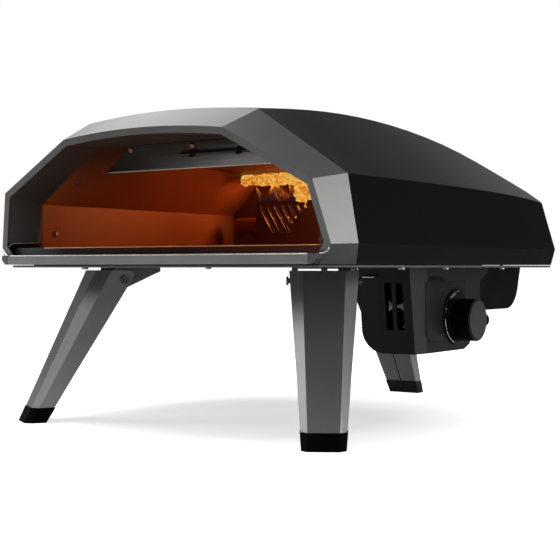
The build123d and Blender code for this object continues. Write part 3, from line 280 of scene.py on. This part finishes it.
def painted_firelight_liner(name):
    """The liner's steel, with its orange-brown colour as painted firelight, rolling lines and darker smears.
    """
    material, tree, shader, coords = new_material(name)
    lines = noise(tree, stretched(tree, coords, (500, 5, 500)), 1.0, 3.0, 0.6)
    smears = noise(tree, coords, 6.0, 5.0, 0.6, 0.8)
    base = ramp(tree, smears, [
        (0.25, (0.205, 0.043, 0.0105)), (0.5, (0.250, 0.053, 0.0130)), (0.75, (0.285, 0.064, 0.0160)),
    ])
    streaks = ramp(tree, lines, [(0.3, (0.88, 0.86, 0.84)), (0.7, (1.0, 1.0, 1.0))])
    # Darker toward the front of the roof slope, and painted shade on the back wall past the guard.
    dark_roof_and_shaded_rear = combined(
        tree, spread(tree, along(tree, coords, "Z"), 0.0, 1.0, 0.280, 0.325),
        spread(tree, along(tree, coords, "Y"), 1.0, 0.15, -0.25, -0.10), "MULTIPLY",
    )
    dark_roof_and_shaded_rear = combined(tree, dark_roof_and_shaded_rear, spread(tree, along(tree, coords, "Y"), 0.0, 0.6, 0.080, 0.120), "MAXIMUM")
    undarkened = blended(tree, 1.0, base, streaks, "MULTIPLY")
    tree.links.new(blended(tree, dark_roof_and_shaded_rear, undarkened, (0.030, 0.012, 0.008)), shader.inputs["Base Color"])
    tree.links.new(spread(tree, smears, 0.46, 0.62), shader.inputs["Roughness"])
    shader.inputs["Metallic"].default_value = 0.2
    shader.inputs["Specular IOR Level"].default_value = 0.3
    bumped(tree, shader, lines, 0.3, 0.00002)
    return material


def rail_painted_reflection(name):
    """Polished strip across the mouth with painted reflections: grey at its left, dark brown in the middle,
    reddish at the right.
    """
    material, tree, shader, coords = new_material(name)
    place = spread(tree, along(tree, coords, "X"), 0.0, 1.0, -0.23, 0.23)
    wander = combined(tree, noise(tree, stretched(tree, coords, (14, 60, 200)), 1.0, 4.0), 0.08, "MULTIPLY")
    painted_reflection = ramp(tree, combined(tree, place, wander, "ADD"), [
        (0.0, (0.10, 0.10, 0.10)), (0.16, (0.055, 0.06, 0.066)), (0.24, (0.012, 0.009, 0.008)),
        (0.62, (0.030, 0.006, 0.003)), (0.85, (0.060, 0.016, 0.008)), (1.0, (0.085, 0.03, 0.02)),
    ])
    lines = noise(tree, stretched(tree, coords, (4, 900, 900)), 1.0, 3.0, 0.6)
    streaks = ramp(tree, lines, [(0.3, (0.8, 0.8, 0.8)), (0.7, (1.0, 1.0, 1.0))])
    tree.links.new(blended(tree, 1.0, painted_reflection, streaks, "MULTIPLY"), shader.inputs["Base Color"])
    tree.links.new(spread(tree, lines, 0.26, 0.38), shader.inputs["Roughness"])
    shader.inputs["Metallic"].default_value = 0.85
    bumped(tree, shader, lines, 0.3, 0.00002)
    return material


def sooty(shader):
    """A surface that returns almost no light, under a glow."""
    shader.inputs["Base Color"].default_value = (0.02, 0.01, 0.01, 1)
    shader.inputs["Roughness"].default_value = 1.0
    shader.inputs["Specular IOR Level"].default_value = 0.0


def fire_roll(name):
    """The bright roll of fire under the roof: orange hollows and pale yellow lumps."""
    material, tree, shader, coords = new_material(name)
    lumps = noise(tree, stretched(tree, coords, (150, 150, 190)), 1.0, 3.0, 0.55, 0.6)
    broad = noise(tree, coords, 34.0, 2.0)
    level = combined(tree, lumps, combined(tree, broad, 0.45, "MULTIPLY"), "ADD")
    colour = ramp(tree, level, [
        (0.42, (0.42, 0.070, 0.006)), (0.60, (0.75, 0.20, 0.016)), (0.78, (0.95, 0.48, 0.07)),
        (0.95, (1.0, 0.76, 0.26)),
    ])
    tree.links.new(colour, shader.inputs["Emission Color"])
    shader.inputs["Emission Strength"].default_value = 0.85
    sooty(shader)
    return material


def flame_body(name):
    """Burning gas: violet and see-through at the root, orange to pale yellow above, in drifting tongues."""
    material, tree, shader, coords = new_material(name)
    height = spread(tree, along(tree, coords, "Z"), 0.0, 1.0, 0.262, 0.326)
    drift = noise(tree, stretched(tree, coords, (60, 60, 24)), 1.0, 4.0, 0.6, 1.2)
    level = combined(tree, height, combined(tree, drift, 0.55, "MULTIPLY"), "ADD")
    colour = ramp(tree, level, [
        (0.30, (0.030, 0.012, 0.05)), (0.70, (0.045, 0.012, 0.012)), (0.86, (0.28, 0.060, 0.008)),
        (0.97, (0.80, 0.26, 0.03)), (1.0, (0.95, 0.42, 0.06)),
    ])
    tree.links.new(colour, shader.inputs["Emission Color"])
    tree.links.new(spread(tree, level, 0.15, 1.5, 0.45, 1.15), shader.inputs["Emission Strength"])
    sooty(shader)
    tree.links.new(spread(tree, level, 0.10, 1.3, 0.35, 0.80), shader.inputs["Alpha"])
    return material


looks = {
    "visor_grey": coated("visor_powder_coat", (0.112, 0.112, 0.111), 0.29, 0.55),
    "shell_black": coated("shell_powder_coat", (0.0024, 0.0024, 0.0025), 0.50, 0.0, specular=0.05),
    "sill_grey": coated("sill_powder_coat", (0.19, 0.19, 0.188), 0.36, 0.45),
    "tray_grey": coated("tray_powder_coat", (0.10, 0.10, 0.10), 0.42, 0.35),
    "liner_steel": painted_firelight_liner("liner_steel_painted_firelight"),
    "baffle_steel": baffle_painted_reflection("baffle_steel_painted_reflection"),
    "rail_steel": rail_painted_reflection("rail_steel_painted_reflection"),
    "screw_steel": brushed("screw_steel", (0.42, 0.40, 0.39), 0.32, (900, 900, 900), warmth=0.2),
    "stone": ceramic("cordierite_stone", (0.50, 0.40, 0.30), (0.33, 0.25, 0.18), 420, 0.0003),
    "blanket": ceramic("ceramic_blanket", (0.84, 0.83, 0.79), (0.72, 0.71, 0.68), 160, 0.0008, True),
    "board": ceramic("ceramic_board", (0.72, 0.70, 0.66), (0.62, 0.60, 0.56), 300, 0.0004),
    "housing_black": coated(
        "housing_black", (0.0062, 0.0062, 0.0064), 0.48, 0.0, 2200, 0.00005, specular=0.18),
    "knob_black": coated("knob_black", (0.0180, 0.0180, 0.0180), 0.40, 0.0, 2600, 0.00003, specular=0.4),
    "bezel_black": coated("bezel_black", (0.0020, 0.0020, 0.0020), 0.30, 0.0, 3000, 0.00001, specular=0.08),
    "valve_brass": brushed("valve_brass", (0.62, 0.42, 0.16), 0.30, (600, 600, 600)),
    "leg_grey": leg_coat_painted_light("leg_powder_coat"),
    "cap_black": coated("foot_rubber", (0.0012, 0.0012, 0.0012), 0.65, 0.0, 1800, 0.00008, specular=0.03),
    "electrode_white": ceramic("electrode_porcelain", (0.86, 0.84, 0.80), (0.80, 0.78, 0.73), 700, 0.00005),
    "lining_dark": lining_painted_shade("lining_painted_shade_and_firelight"),
}
extra = {
    "bright_edge": brushed("bright_steel_and_painted_highlight", (0.62, 0.60, 0.58), 0.28, (900, 900, 900)),
    "baffle_edge": brushed("baffle_edge_steel", (0.66, 0.60, 0.56), 0.30, (900, 900, 900)),
    "rail_edge_painted_highlight": brushed("rail_edge_steel_painted_firelight", (0.80, 0.34, 0.14), 0.34, (900, 900, 900)),
    "rim": brushed("guard_rim_painted_highlight", (0.34, 0.22, 0.23), 0.36, (900, 900, 900)),
    "marks": coated("dial_marks", (0.80, 0.80, 0.79), 0.50, 0.0, 2600, 0.00001),
    "recess_painted_shade": coated("recess_black_painted_shade", (0.003, 0.003, 0.003), 0.60, 0.0, 2600, 0.00001, specular=0.1),
    "guard": brushed("guard_tinted_steel", (0.120, 0.034, 0.018), 0.42, (6, 500, 500), metallic=0.5),
    "hot_screw": brushed("hot_screw_steel", (0.16, 0.085, 0.065), 0.34, (900, 900, 900)),
    "rod": coated("rod_black", (0.008, 0.005, 0.004), 0.45, 0.2, 2600, 0.00001),
    "shutter": coated("shutter_black", (0.003, 0.003, 0.003), 0.60, 0.0, 2600, 0.00001, specular=0.05),
    "glint": brushed("shutter_steel_painted_highlight", (0.86, 0.84, 0.76), 0.35, (500, 500, 500), metallic=0.4),
    "facet_painted_light": coated("housing_facet_painted_light", (0.0165, 0.0165, 0.0168), 0.42, 0.0, 2200, 0.00004, specular=0.35),
    "shell_top_painted": shell_top_painted_light("shell_top_painted_light"),
    "visor_low_painted_shade": coated("visor_lower_painted_shade", (0.050, 0.050, 0.0495), 0.36, 0.45),
    "rear_cap": coated("rear_foot_rubber", (0.0145, 0.0145, 0.0147), 0.60, 0.0, 1800, 0.00008, specular=0.2),
    "knob_side_painted_shade": coated("knob_side_black_painted_shade", (0.0012, 0.0012, 0.0012), 0.55, 0.0, 2600, 0.00003, specular=0.05),
    "pin": coated("pin_dark_steel", (0.075, 0.075, 0.075), 0.30, 0.7, 2600, 0.00001),
    "rear_black": coated(
        "rear_housing_black", (0.0020, 0.0020, 0.0021), 0.50, 0.0, 2200, 0.00005, specular=0.04),
    "flame": flame_body("flame_gas"),
    "fire": fire_roll("fire_roll_gas"),
}
for subpart in frame["record"]["subparts"]:
    for slot in nodes[subpart["node"]].material_slots:
        slot.material = looks[subpart["material_slot"]]
for name, look in (
    ("burner_guard", "guard"), ("leg_pivot_pins", "pin"), ("rear_housing", "rear_black"),
    ("baffle_screws", "hot_screw"), ("liner_screws", "hot_screw"), ("baffle_rod", "rod"),
    ("rod_brackets", "rod"), ("air_shutter", "shutter"), ("rear_foot_cap", "rear_cap"),
):
    for slot in nodes[name].material_slots:
        slot.material = extra[look]



def recoat(name, look, wanted):
    """Another material on those faces of a CAD node that are wanted."""
    mesh = nodes[name].data
    mesh.materials.append(look)
    for face in mesh.polygons:
        if wanted(face):
            face.material_index = len(mesh.materials) - 1


# The liner's closing ring behind the visor gets the lining's painted shade and painted firelight
ring_front = -0.2635
recoat("inner_liner", looks["lining_dark"],
       lambda face: face.center.y < ring_front and abs(face.normal.y) > 0.9)
# The visor's lower corners face the floor and get a darker copy of its coat as painted shade
recoat("front_visor", extra["visor_low_painted_shade"], lambda face: face.normal.z < -0.05 and abs(face.normal.x) > 0.5)
# The shell's upper faces get a lighter copy of its coat than its sides, as painted light
recoat("rear_shell", extra["shell_top_painted"], lambda face: face.normal.z > 0.30)
# The control housing's slanted strip gets a lighter copy of its coat as painted light
recoat("control_housing", extra["facet_painted_light"], lambda face: 0.03 < -face.normal.y < 0.5 and face.normal.x > 0.85)
# The knob's side is duller than its face, and darker as painted shade
recoat("gas_knob", extra["knob_side_painted_shade"], lambda face: face.normal.x < 0.9)


# Edges of sheet metal and mouldings

def soften(name, width, limit=16.0, segments=2):
    """Small rounded edges and even shading on a CAD node, made by modifiers."""
    piece = nodes[name]
    mesh = piece.data
    if "custom_normal" in mesh.attributes:
        mesh.attributes.remove(mesh.attributes["custom_normal"])
    mesh.shade_smooth()
    weld = piece.modifiers.new("weld", "WELD")
    weld.merge_threshold = 0.00001
    bevel = piece.modifiers.new("edge", "BEVEL")
    bevel.width = width
    bevel.segments = segments
    bevel.limit_method = "ANGLE"
    bevel.angle_limit = radians(limit)
    bevel.miter_outer = "MITER_ARC"
    weighted = piece.modifiers.new("shading", "WEIGHTED_NORMAL")
    weighted.keep_sharp = False


edge_widths = {
    "front_visor": 0.0005, "rear_shell": 0.0006, "front_sill": 0.0008, "base_tray": 0.0004,
    "rear_housing": 0.0006, "baking_stone": 0.0010, "mouth_rail": 0.0003,
    "gas_knob": 0.0006, "dial_bezel": 0.0005, "heat_baffle": 0.0003,
}
for name, width in edge_widths.items():
    soften(name, width)
soften("control_housing", 0.0006, 5.0)
for leg in ("front_left", "front_right", "rear"):
    soften(f"{leg}_leg", 0.0004, 12.0)
    soften(f"{leg}_foot_cap", 0.0008, 12.0)
    soften(f"{leg}_leg_bracket", 0.0004)


# Pieces made here

def finish_piece(shape, name, material, body, smooth=True):
    """The mesh turned into an object that rides on a body."""
    mesh = bpy.data.meshes.new(name)
    bmesh.ops.recalc_face_normals(shape, faces=shape.faces[:])
    shape.to_mesh(mesh)
    shape.free()
    if smooth:
        mesh.shade_smooth()
    mesh.materials.append(material)
    piece = bpy.data.objects.new(name, mesh)
    scene.collection.objects.link(piece)
    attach(piece, body)
    return piece


def add_tube(shape, points, radius, sides=10, closed=False):
    """A round bar through the points, with domed ends unless it closes on itself."""
    places = [Vector(point) for point in points]
    count = len(places)
    rings = []
    for index, place in enumerate(places):
        before = places[index - 1] if closed or index > 0 else place
        after = places[(index + 1) % count] if closed or index < count - 1 else place
        run = (after - before).normalized()
        side = run.orthogonal().normalized() if not rings else (last - run * last.dot(run)).normalized()
        last = side
        up = run.cross(side)
        rings.append([
            shape.verts.new(place + (side * cos(tau * k / sides) + up * sin(tau * k / sides)) * radius)
            for k in range(sides)
        ])
    spans = count if closed else count - 1
    for index in range(spans):
        first, second = rings[index], rings[(index + 1) % count]
        for k in range(sides):
            m = (k + 1) % sides
            shape.faces.new((first[k], first[m], second[m], second[k]))
    if not closed:
        for ring, place, outward in (
            (rings[0], places[0], places[0] - places[1]),
            (rings[-1], places[-1], places[-1] - places[-2]),
        ):
            tip = shape.verts.new(place + outward.normalized() * radius * 0.8)
            for k in range(sides):
                shape.faces.new((ring[k], ring[(k + 1) % sides], tip))


def tubes(name, runs, radius, material, body="oven", closed=False, sides=10):
    """Several round bars as one piece."""
    shape = bmesh.new()
    for points in runs:
        add_tube(shape, points, radius, sides, closed)
    return finish_piece(shape, name, material, body)


def add_plate(shape, corners, thickness, edge):
    """A plate from its outline and a thickness vector, with chamfered edges."""
    low = [shape.verts.new(Vector(corner)) for corner in corners]
    high = [shape.verts.new(Vector(corner) + Vector(thickness)) for corner in corners]
    faces = [shape.faces.new(low), shape.faces.new(high)]
    for k in range(len(corners)):
        m = (k + 1) % len(corners)
        faces.append(shape.faces.new((low[k], low[m], high[m], high[k])))
    edges = list({e for face in faces for e in face.edges})
    bmesh.ops.bevel(shape, geom=edges, offset=edge, segments=2, affect="EDGES", profile=0.5)


def plate(name, corners, thickness, edge, material, body="oven"):
    """One plate as a piece."""
    shape = bmesh.new()
    add_plate(shape, corners, thickness, edge)
    return finish_piece(shape, name, material, body)


# Mouth: hems of the lining and lips of the visor's corner pieces in bright steel as painted highlights, and
# the rail's edge in orange steel as a painted highlight of firelight
tubes("lining_hems", [
    [(s * 0.2035, -0.2656, 0.2203), (s * 0.2155, -0.2790, 0.2200), (s * 0.2258, -0.2918, 0.2196),
     (s * 0.2282, -0.2952, 0.2180), (s * 0.2290, -0.2966, 0.2155)]
    for s in (-1, 1)
], 0.0009, extra["bright_edge"])
tubes("corner_lips", [
    [(s * 0.2280, -0.3048, 0.2043), (s * 0.2310, -0.3018, 0.2049), (s * 0.2340, -0.3002, 0.2068),
     (s * 0.2362, -0.2994, 0.2100)]
    for s in (-1, 1)
], 0.0008, extra["bright_edge"])
# The rail's edge is orange steel, a painted highlight of firelight.
rail_points = [(-0.176 + 0.012 * k, -0.2899, 0.2134) for k in range(34)]
tubes("rail_lip", [rail_points], 0.0006, extra["rail_edge_painted_highlight"])


# Bright steel edge along the sill's top, a painted highlight
sill_low, sill_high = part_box("front_sill")
sill_start, sill_run = sill_low.x + 0.001, sill_high.x - sill_low.x - 0.002
tubes("sill_edge", [[
    (sill_start + sill_run * k / 40, sill_low.y + 0.0004, sill_high.z - 0.0004) for k in range(41)
]], 0.0008, extra["bright_edge"])

# Bright folded edge along the baffle's front
baffle_low, baffle_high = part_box("heat_baffle")
baffle_points = [v.co.copy() for v in nodes["heat_baffle"].data.vertices]
baffle_rim = [point for point in baffle_points if point.z < baffle_low.z + 0.0006]
rim_y = min(v.y for v in baffle_rim)
rim_left = min(v.x for v in baffle_rim)
rim_right = max(v.x for v in baffle_rim)
tubes("baffle_edge", [[
    (rim_left + (rim_right - rim_left) * k / 20, rim_y - 0.0002, baffle_low.z + 0.0006) for k in range(21)
]], 0.0007, extra["baffle_edge"])

# Guard: rolled rims round the slots, their pale pinkish colour a painted highlight
guard_low, guard_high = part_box("burner_guard")
slot_shares = (1.0, 1.0, 1.0, 0.66, 0.43, 0.22, 0.0)
slot_drop, slot_slant, slot_pitch, slot_rim_radius = 0.035, 0.6494, 0.0127, 0.0021
slot_rims = []
for s in (-1, 1):
    for index, share in enumerate(slot_shares):
        drop = slot_drop * share
        shift = drop * slot_slant
        top_x = s * (guard_high.x - 0.008 - slot_pitch * index)
        low_x = top_x - s * shift
        z = guard_high.z - 0.008
        start = Vector((top_x, guard_low.y - 0.0003, z))
        end = Vector((low_x, guard_low.y - 0.0003, z - drop))
        run = (end - start).normalized() if drop > 0 else Vector((0, 0, -1))
        across = Vector((run.z, 0, -run.x))
        rim = []
        for centre, first in ((end, 0), (start, 4)):
            for k in range(5):
                angle = pi * (k + first) / 4
                turn = across * cos(angle) + run * sin(angle)
                rim.append(centre + turn * slot_rim_radius)
        slot_rims.append(rim)
tubes("guard_slot_rims", slot_rims, 0.0005, extra["rim"], closed=True, sides=8)


# Flames that rise behind the guard and roll under the liner's roof
def flame_tongue(shape, x, y, low, high, width, lean):
    """One tongue: a pointed, twisted leaf of burning gas with a round section."""
    sides, steps = 12, 14
    turn = chance.uniform(0, tau)
    sway = chance.uniform(0.6, 1.4)
    rings = []
    for step in range(steps + 1):
        t = step / steps
        swell = (sin(pi * min(1.0, 0.12 + 0.88 * t) ** 0.8) ** 0.7) * (1 - 0.25 * t)
        centre = Vector((
            x + 0.004 * sway * sin(turn + 4.2 * t),
            y - lean * t * t + 0.003 * sway * cos(turn + 3.1 * t),
            low + (high - low) * t,
        ))
        rings.append([
            shape.verts.new(centre + Vector((
                cos(tau * k / sides) * width * swell * (1 + 0.18 * sin(3 * tau * k / sides + 5 * t + turn)),
                sin(tau * k / sides) * width * 0.55 * swell,
                0,
            )))
            for k in range(sides)
        ])
    for first, second in zip(rings, rings[1:]):
        for k in range(sides):
            m = (k + 1) % sides
            shape.faces.new((first[k], first[m], second[m], second[k]))
    for ring, rise in ((rings[0], -0.001), (rings[-1], 0.001)):
        tip = shape.verts.new(sum((v.co for v in ring), Vector()) / sides + Vector((0, 0, rise)))
        for k in range(sides):
            shape.faces.new((ring[k], ring[(k + 1) % sides], tip))


burner_low, burner_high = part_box("burner_tube")
burner_y = (burner_low.y + burner_high.y) / 2
flames = bmesh.new()
x = -0.122
while x < burner_high.x - 0.006:
    top = chance.uniform(0.306, 0.320)
    reach = min(1.0, (0.175 - abs(x)) / 0.07)
    width, lean = chance.uniform(0.007, 0.010), chance.uniform(0.004, 0.018)
    flame_tongue(flames, x, burner_y, burner_high.z - 0.001, top - 0.02 * (1 - reach), width, lean)
    x += chance.uniform(0.010, 0.014)
finish_piece(flames, "burner_flames", extra["flame"], "oven")


def fire_lump(shape, centre, radius):
    """One rounded billow, slightly dented all round."""
    made = bmesh.ops.create_icosphere(shape, subdivisions=3, radius=1.0)
    turn = [chance.uniform(0, tau) for _ in range(3)]
    for v in made["verts"]:
        d = v.co.normalized()
        dent = 1 + 0.10 * sin(5 * d.x + turn[0]) + 0.10 * sin(6 * d.y + turn[1])
        dent += 0.08 * sin(7 * d.z + turn[2])
        v.co = Vector(centre) + Vector((d.x * 1.15, d.y, d.z * 0.85)) * radius * dent


fire = bmesh.new()
x = -0.130
while x < 0.150:
    for row in range(3):
        centre = (
            x + chance.uniform(-0.003, 0.003),
            0.064 + 0.013 * row + chance.uniform(-0.004, 0.004),
            0.3145 + 0.001 * row + chance.uniform(-0.002, 0.0025),
        )
        fire_lump(fire, centre, chance.uniform(0.0080, 0.0104))
    x += chance.uniform(0.009, 0.012)
for x in (-0.052, -0.041, -0.030, -0.018, 0.040, 0.052, 0.064):
    for step in range(4):
        across, depth = chance.uniform(-0.002, 0.002), chance.uniform(-0.003, 0.003)
        centre = (x + across, 0.088 + depth, 0.302 - 0.0085 * step)
        fire_lump(fire, centre, 0.0088 - 0.0006 * step)
finish_piece(fire, "fire_roll", extra["fire"], "oven")


# Control housing: raised panel round the dial with a dark patch of painted shade over it, a front lug, dial
# marks
wall_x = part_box("control_housing")[1].x
panel = [
    (-0.047, 0.110), (-0.047, 0.1735), (0.060, 0.1735), (0.060, 0.110), (0.052, 0.100), (-0.040, 0.100),
]
panel_outline = [(wall_x - 0.0002, y, z) for y, z in panel]
plate("dial_panel", panel_outline, (0.0010, 0, 0), 0.0007, looks["housing_black"])
# A thin black patch stands for the shade of a pocket over the panel.
shade_patch = [(-0.043, 0.1740), (-0.036, 0.1795), (-0.004, 0.1795), (0.004, 0.1740)]
shade_patch_outline = [(wall_x - 0.0002, y, z) for y, z in shade_patch]
plate("dial_painted_shade", shade_patch_outline, (0.0003, 0, 0), 0.0001, extra["recess_painted_shade"])
lug = [(0.1470, -0.0785), (0.1660, -0.0785), (0.1650, -0.0870), (0.1480, -0.0870)]
plate("housing_front_lug", [(x, y, 0.1778) for x, y in lug], (0, 0, 0.0016), 0.0004, extra["bright_edge"])

# Bright places of the shutter plate seen through the two slots, in pale steel as painted highlights: the
# waist between its holes, and arcs on their rims
shutter_low, shutter_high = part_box("air_shutter")
hole_x = (shutter_low.x + shutter_high.x) / 2 - 0.005
slot_z = 0.1435
hole_radius, hole_offset = 0.0130, 0.015
glint_y = shutter_low.y - 0.0004
waist = []
for k in range(13):
    x = -0.0105 + 0.021 * k / 12
    waist.append((x, hole_offset - (hole_radius ** 2 - x * x) ** 0.5 - 0.0004))
outline = [(hole_x + x, glint_y, slot_z + z) for x, z in waist]
outline += [(hole_x + x, glint_y, slot_z - z) for x, z in reversed(waist)]
plate("shutter_waist", outline, (0, -0.0004, 0), 0.0001, extra["glint"])


def rim_arc(z, start, end, steps=16):
    """Points along the rim of a shutter hole, angles in degrees from the right upward."""
    angles = [radians(start + (end - start) * k / steps) for k in range(steps + 1)]
    reach = hole_radius + 0.0006
    return [(hole_x + reach * cos(a), glint_y - 0.0003, z + reach * sin(a)) for a in angles]


tubes("shutter_rims", [
    rim_arc(slot_z + hole_offset, -30, 52), rim_arc(slot_z - hole_offset, -50, 20),
], 0.0010, extra["glint"])

bezel_low, bezel_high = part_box("dial_bezel")
dial_y = (bezel_low.y + bezel_high.y) / 2
dial_z = (bezel_low.z + bezel_high.z) / 2
knob_low, knob_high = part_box("gas_knob")
knob_z = (knob_low.z + knob_high.z) / 2


def dial_arc(radius, start, end, x, steps=24):
    """Points on an arc about the dial's axis, angles in degrees from the rear upward."""
    angles = [radians(start + (end - start) * k / steps) for k in range(steps + 1)]
    return [(x, dial_y + radius * cos(a), dial_z + radius * sin(a)) for a in angles]


mark_x = bezel_high.x - 0.0001
tubes("dial_scale", [
    dial_arc(0.0325, 184, 208, mark_x), dial_arc(0.0325, 211, 256, mark_x),
    dial_arc(0.0315, 160, 162, mark_x, 2), dial_arc(0.0315, 84, 88, mark_x, 3),
], 0.0005, extra["marks"])
# A painted highlight: bright arcs on the bezel's upper rear rim.
tubes("dial_glint", [
    dial_arc(0.0300, 98, 128, mark_x), dial_arc(0.0285, 104, 122, mark_x),
], 0.0008, extra["bright_edge"])
tubes("dial_collar", [[
    (mark_x, dial_y + 0.0268 * cos(tau * k / 96), knob_z + 0.0268 * sin(tau * k / 96)) for k in range(96)
]], 0.0009, looks["bezel_black"], closed=True)
tubes("knob_rim", [[
    (knob_high.x - 0.0012, dial_y + 0.0252 * cos(tau * k / 96), knob_z + 0.0252 * sin(tau * k / 96))
    for k in range(96)
]], 0.0004, looks["knob_black"], "knob", closed=True)


# Floor, light and camera

def stage_floor():
    """Pale floor that shows white to the camera and keeps the oven's soft shadow."""
    mesh = bpy.data.meshes.new("floor")
    shape = bmesh.new()
    bmesh.ops.create_grid(shape, x_segments=1, y_segments=1, size=30)
    shape.to_mesh(mesh)
    shape.free()
    floor = bpy.data.objects.new("floor", mesh)
    scene.collection.objects.link(floor)
    material = bpy.data.materials.new("pale_floor")
    material.use_nodes = True
    tree = material.node_tree
    tree.nodes.clear()
    output = tree.nodes.new("ShaderNodeOutputMaterial")
    diffuse = tree.nodes.new("ShaderNodeBsdfDiffuse")
    diffuse.inputs["Color"].default_value = (0.86, 0.86, 0.86, 1)
    glow = tree.nodes.new("ShaderNodeEmission")
    glow.inputs["Color"].default_value = (1, 1, 1, 1)
    seen = tree.nodes.new("ShaderNodeLightPath").outputs["Is Camera Ray"]
    coords = tree.nodes.new("ShaderNodeTexCoord").outputs["Object"]
    length = tree.nodes.new("ShaderNodeVectorMath")
    length.operation = "DISTANCE"
    length.inputs[1].default_value = (-0.03, -0.10, 0)
    tree.links.new(coords, length.inputs[0])
    fade = spread(tree, length.outputs["Value"], 0.50, 1.1, 0.18, 0.44)
    tree.links.new(combined(tree, seen, fade, "MULTIPLY"), glow.inputs["Strength"])
    both = tree.nodes.new("ShaderNodeAddShader")
    tree.links.new(diffuse.outputs[0], both.inputs[0])
    tree.links.new(glow.outputs[0], both.inputs[1])
    tree.links.new(both.outputs[0], output.inputs["Surface"])
    mesh.materials.append(material)


def stage_world():
    """Even pale surroundings: white behind the oven, softer as a light."""
    world = bpy.data.worlds.new("studio")
    scene.world = world
    world.use_nodes = True
    tree = world.node_tree
    tree.nodes.clear()
    output = tree.nodes.new("ShaderNodeOutputWorld")
    background = tree.nodes.new("ShaderNodeBackground")
    background.inputs["Color"].default_value = (1, 1, 1, 1)
    path = tree.nodes.new("ShaderNodeLightPath")
    strength = spread(tree, path.outputs["Is Camera Ray"], 0.20, 1.0, 0.0, 1.0)
    tree.links.new(strength, background.inputs["Strength"])
    tree.links.new(background.outputs[0], output.inputs["Surface"])


def area_lamp(name, place, target, width, height, power, colour=(1, 1, 1)):
    """A soft rectangular lamp that faces a target."""
    lamp = bpy.data.lights.new(name, "AREA")
    lamp.shape = "RECTANGLE"
    lamp.size = width
    lamp.size_y = height
    lamp.energy = power
    lamp.color = colour
    holder = bpy.data.objects.new(name, lamp)
    scene.collection.objects.link(holder)
    holder.location = place
    holder.rotation_mode = "QUATERNION"
    holder.rotation_quaternion = (Vector(target) - Vector(place)).to_track_quat("-Z", "Y")
    return holder


stage_floor()
stage_world()
area_lamp("rear_left_softbox", (-1.1, 0.95, 1.45), (0, -0.25, 0.33), 1.2, 0.9, 5.2)
area_lamp("top_softbox", (-0.35, -0.45, 1.95), (0.02, -0.05, 0.2), 1.2, 1.1, 34)
area_lamp("right_softbox", (2.1, 0.35, 0.62), (0.2, -0.2, 0.22), 1.0, 0.9, 17)
area_lamp("front_fill", (-0.55, -1.75, 0.95), (-0.1, -0.2, 0.15), 0.8, 0.6, 4)
area_lamp("left_softbox", (-1.25, -0.80, 0.62), (0.19, -0.23, 0.06), 0.6, 0.5, 5.5)
area_lamp("fire_glow", (-0.01, 0.088, 0.300), (-0.12, -0.15, 0.22), 0.20, 0.03, 0.95, (1.0, 0.42, 0.13))

camera_data = bpy.data.cameras.new("camera")
camera_data.sensor_width = 36
camera_data.lens = 36 * 1212 / 560
camera_data.shift_y = -12.5 / 560
camera = bpy.data.objects.new("camera", camera_data)
scene.collection.objects.link(camera)
camera.location = (0.885, -1.338, 0.190)
camera.rotation_mode = "QUATERNION"
camera.rotation_quaternion = Vector((-0.564, 0.826, 0)).to_track_quat("-Z", "Y")
camera_data.clip_start = 0.05
camera_data.clip_end = 100
scene.camera = camera
scene.view_settings.view_transform = "Standard"
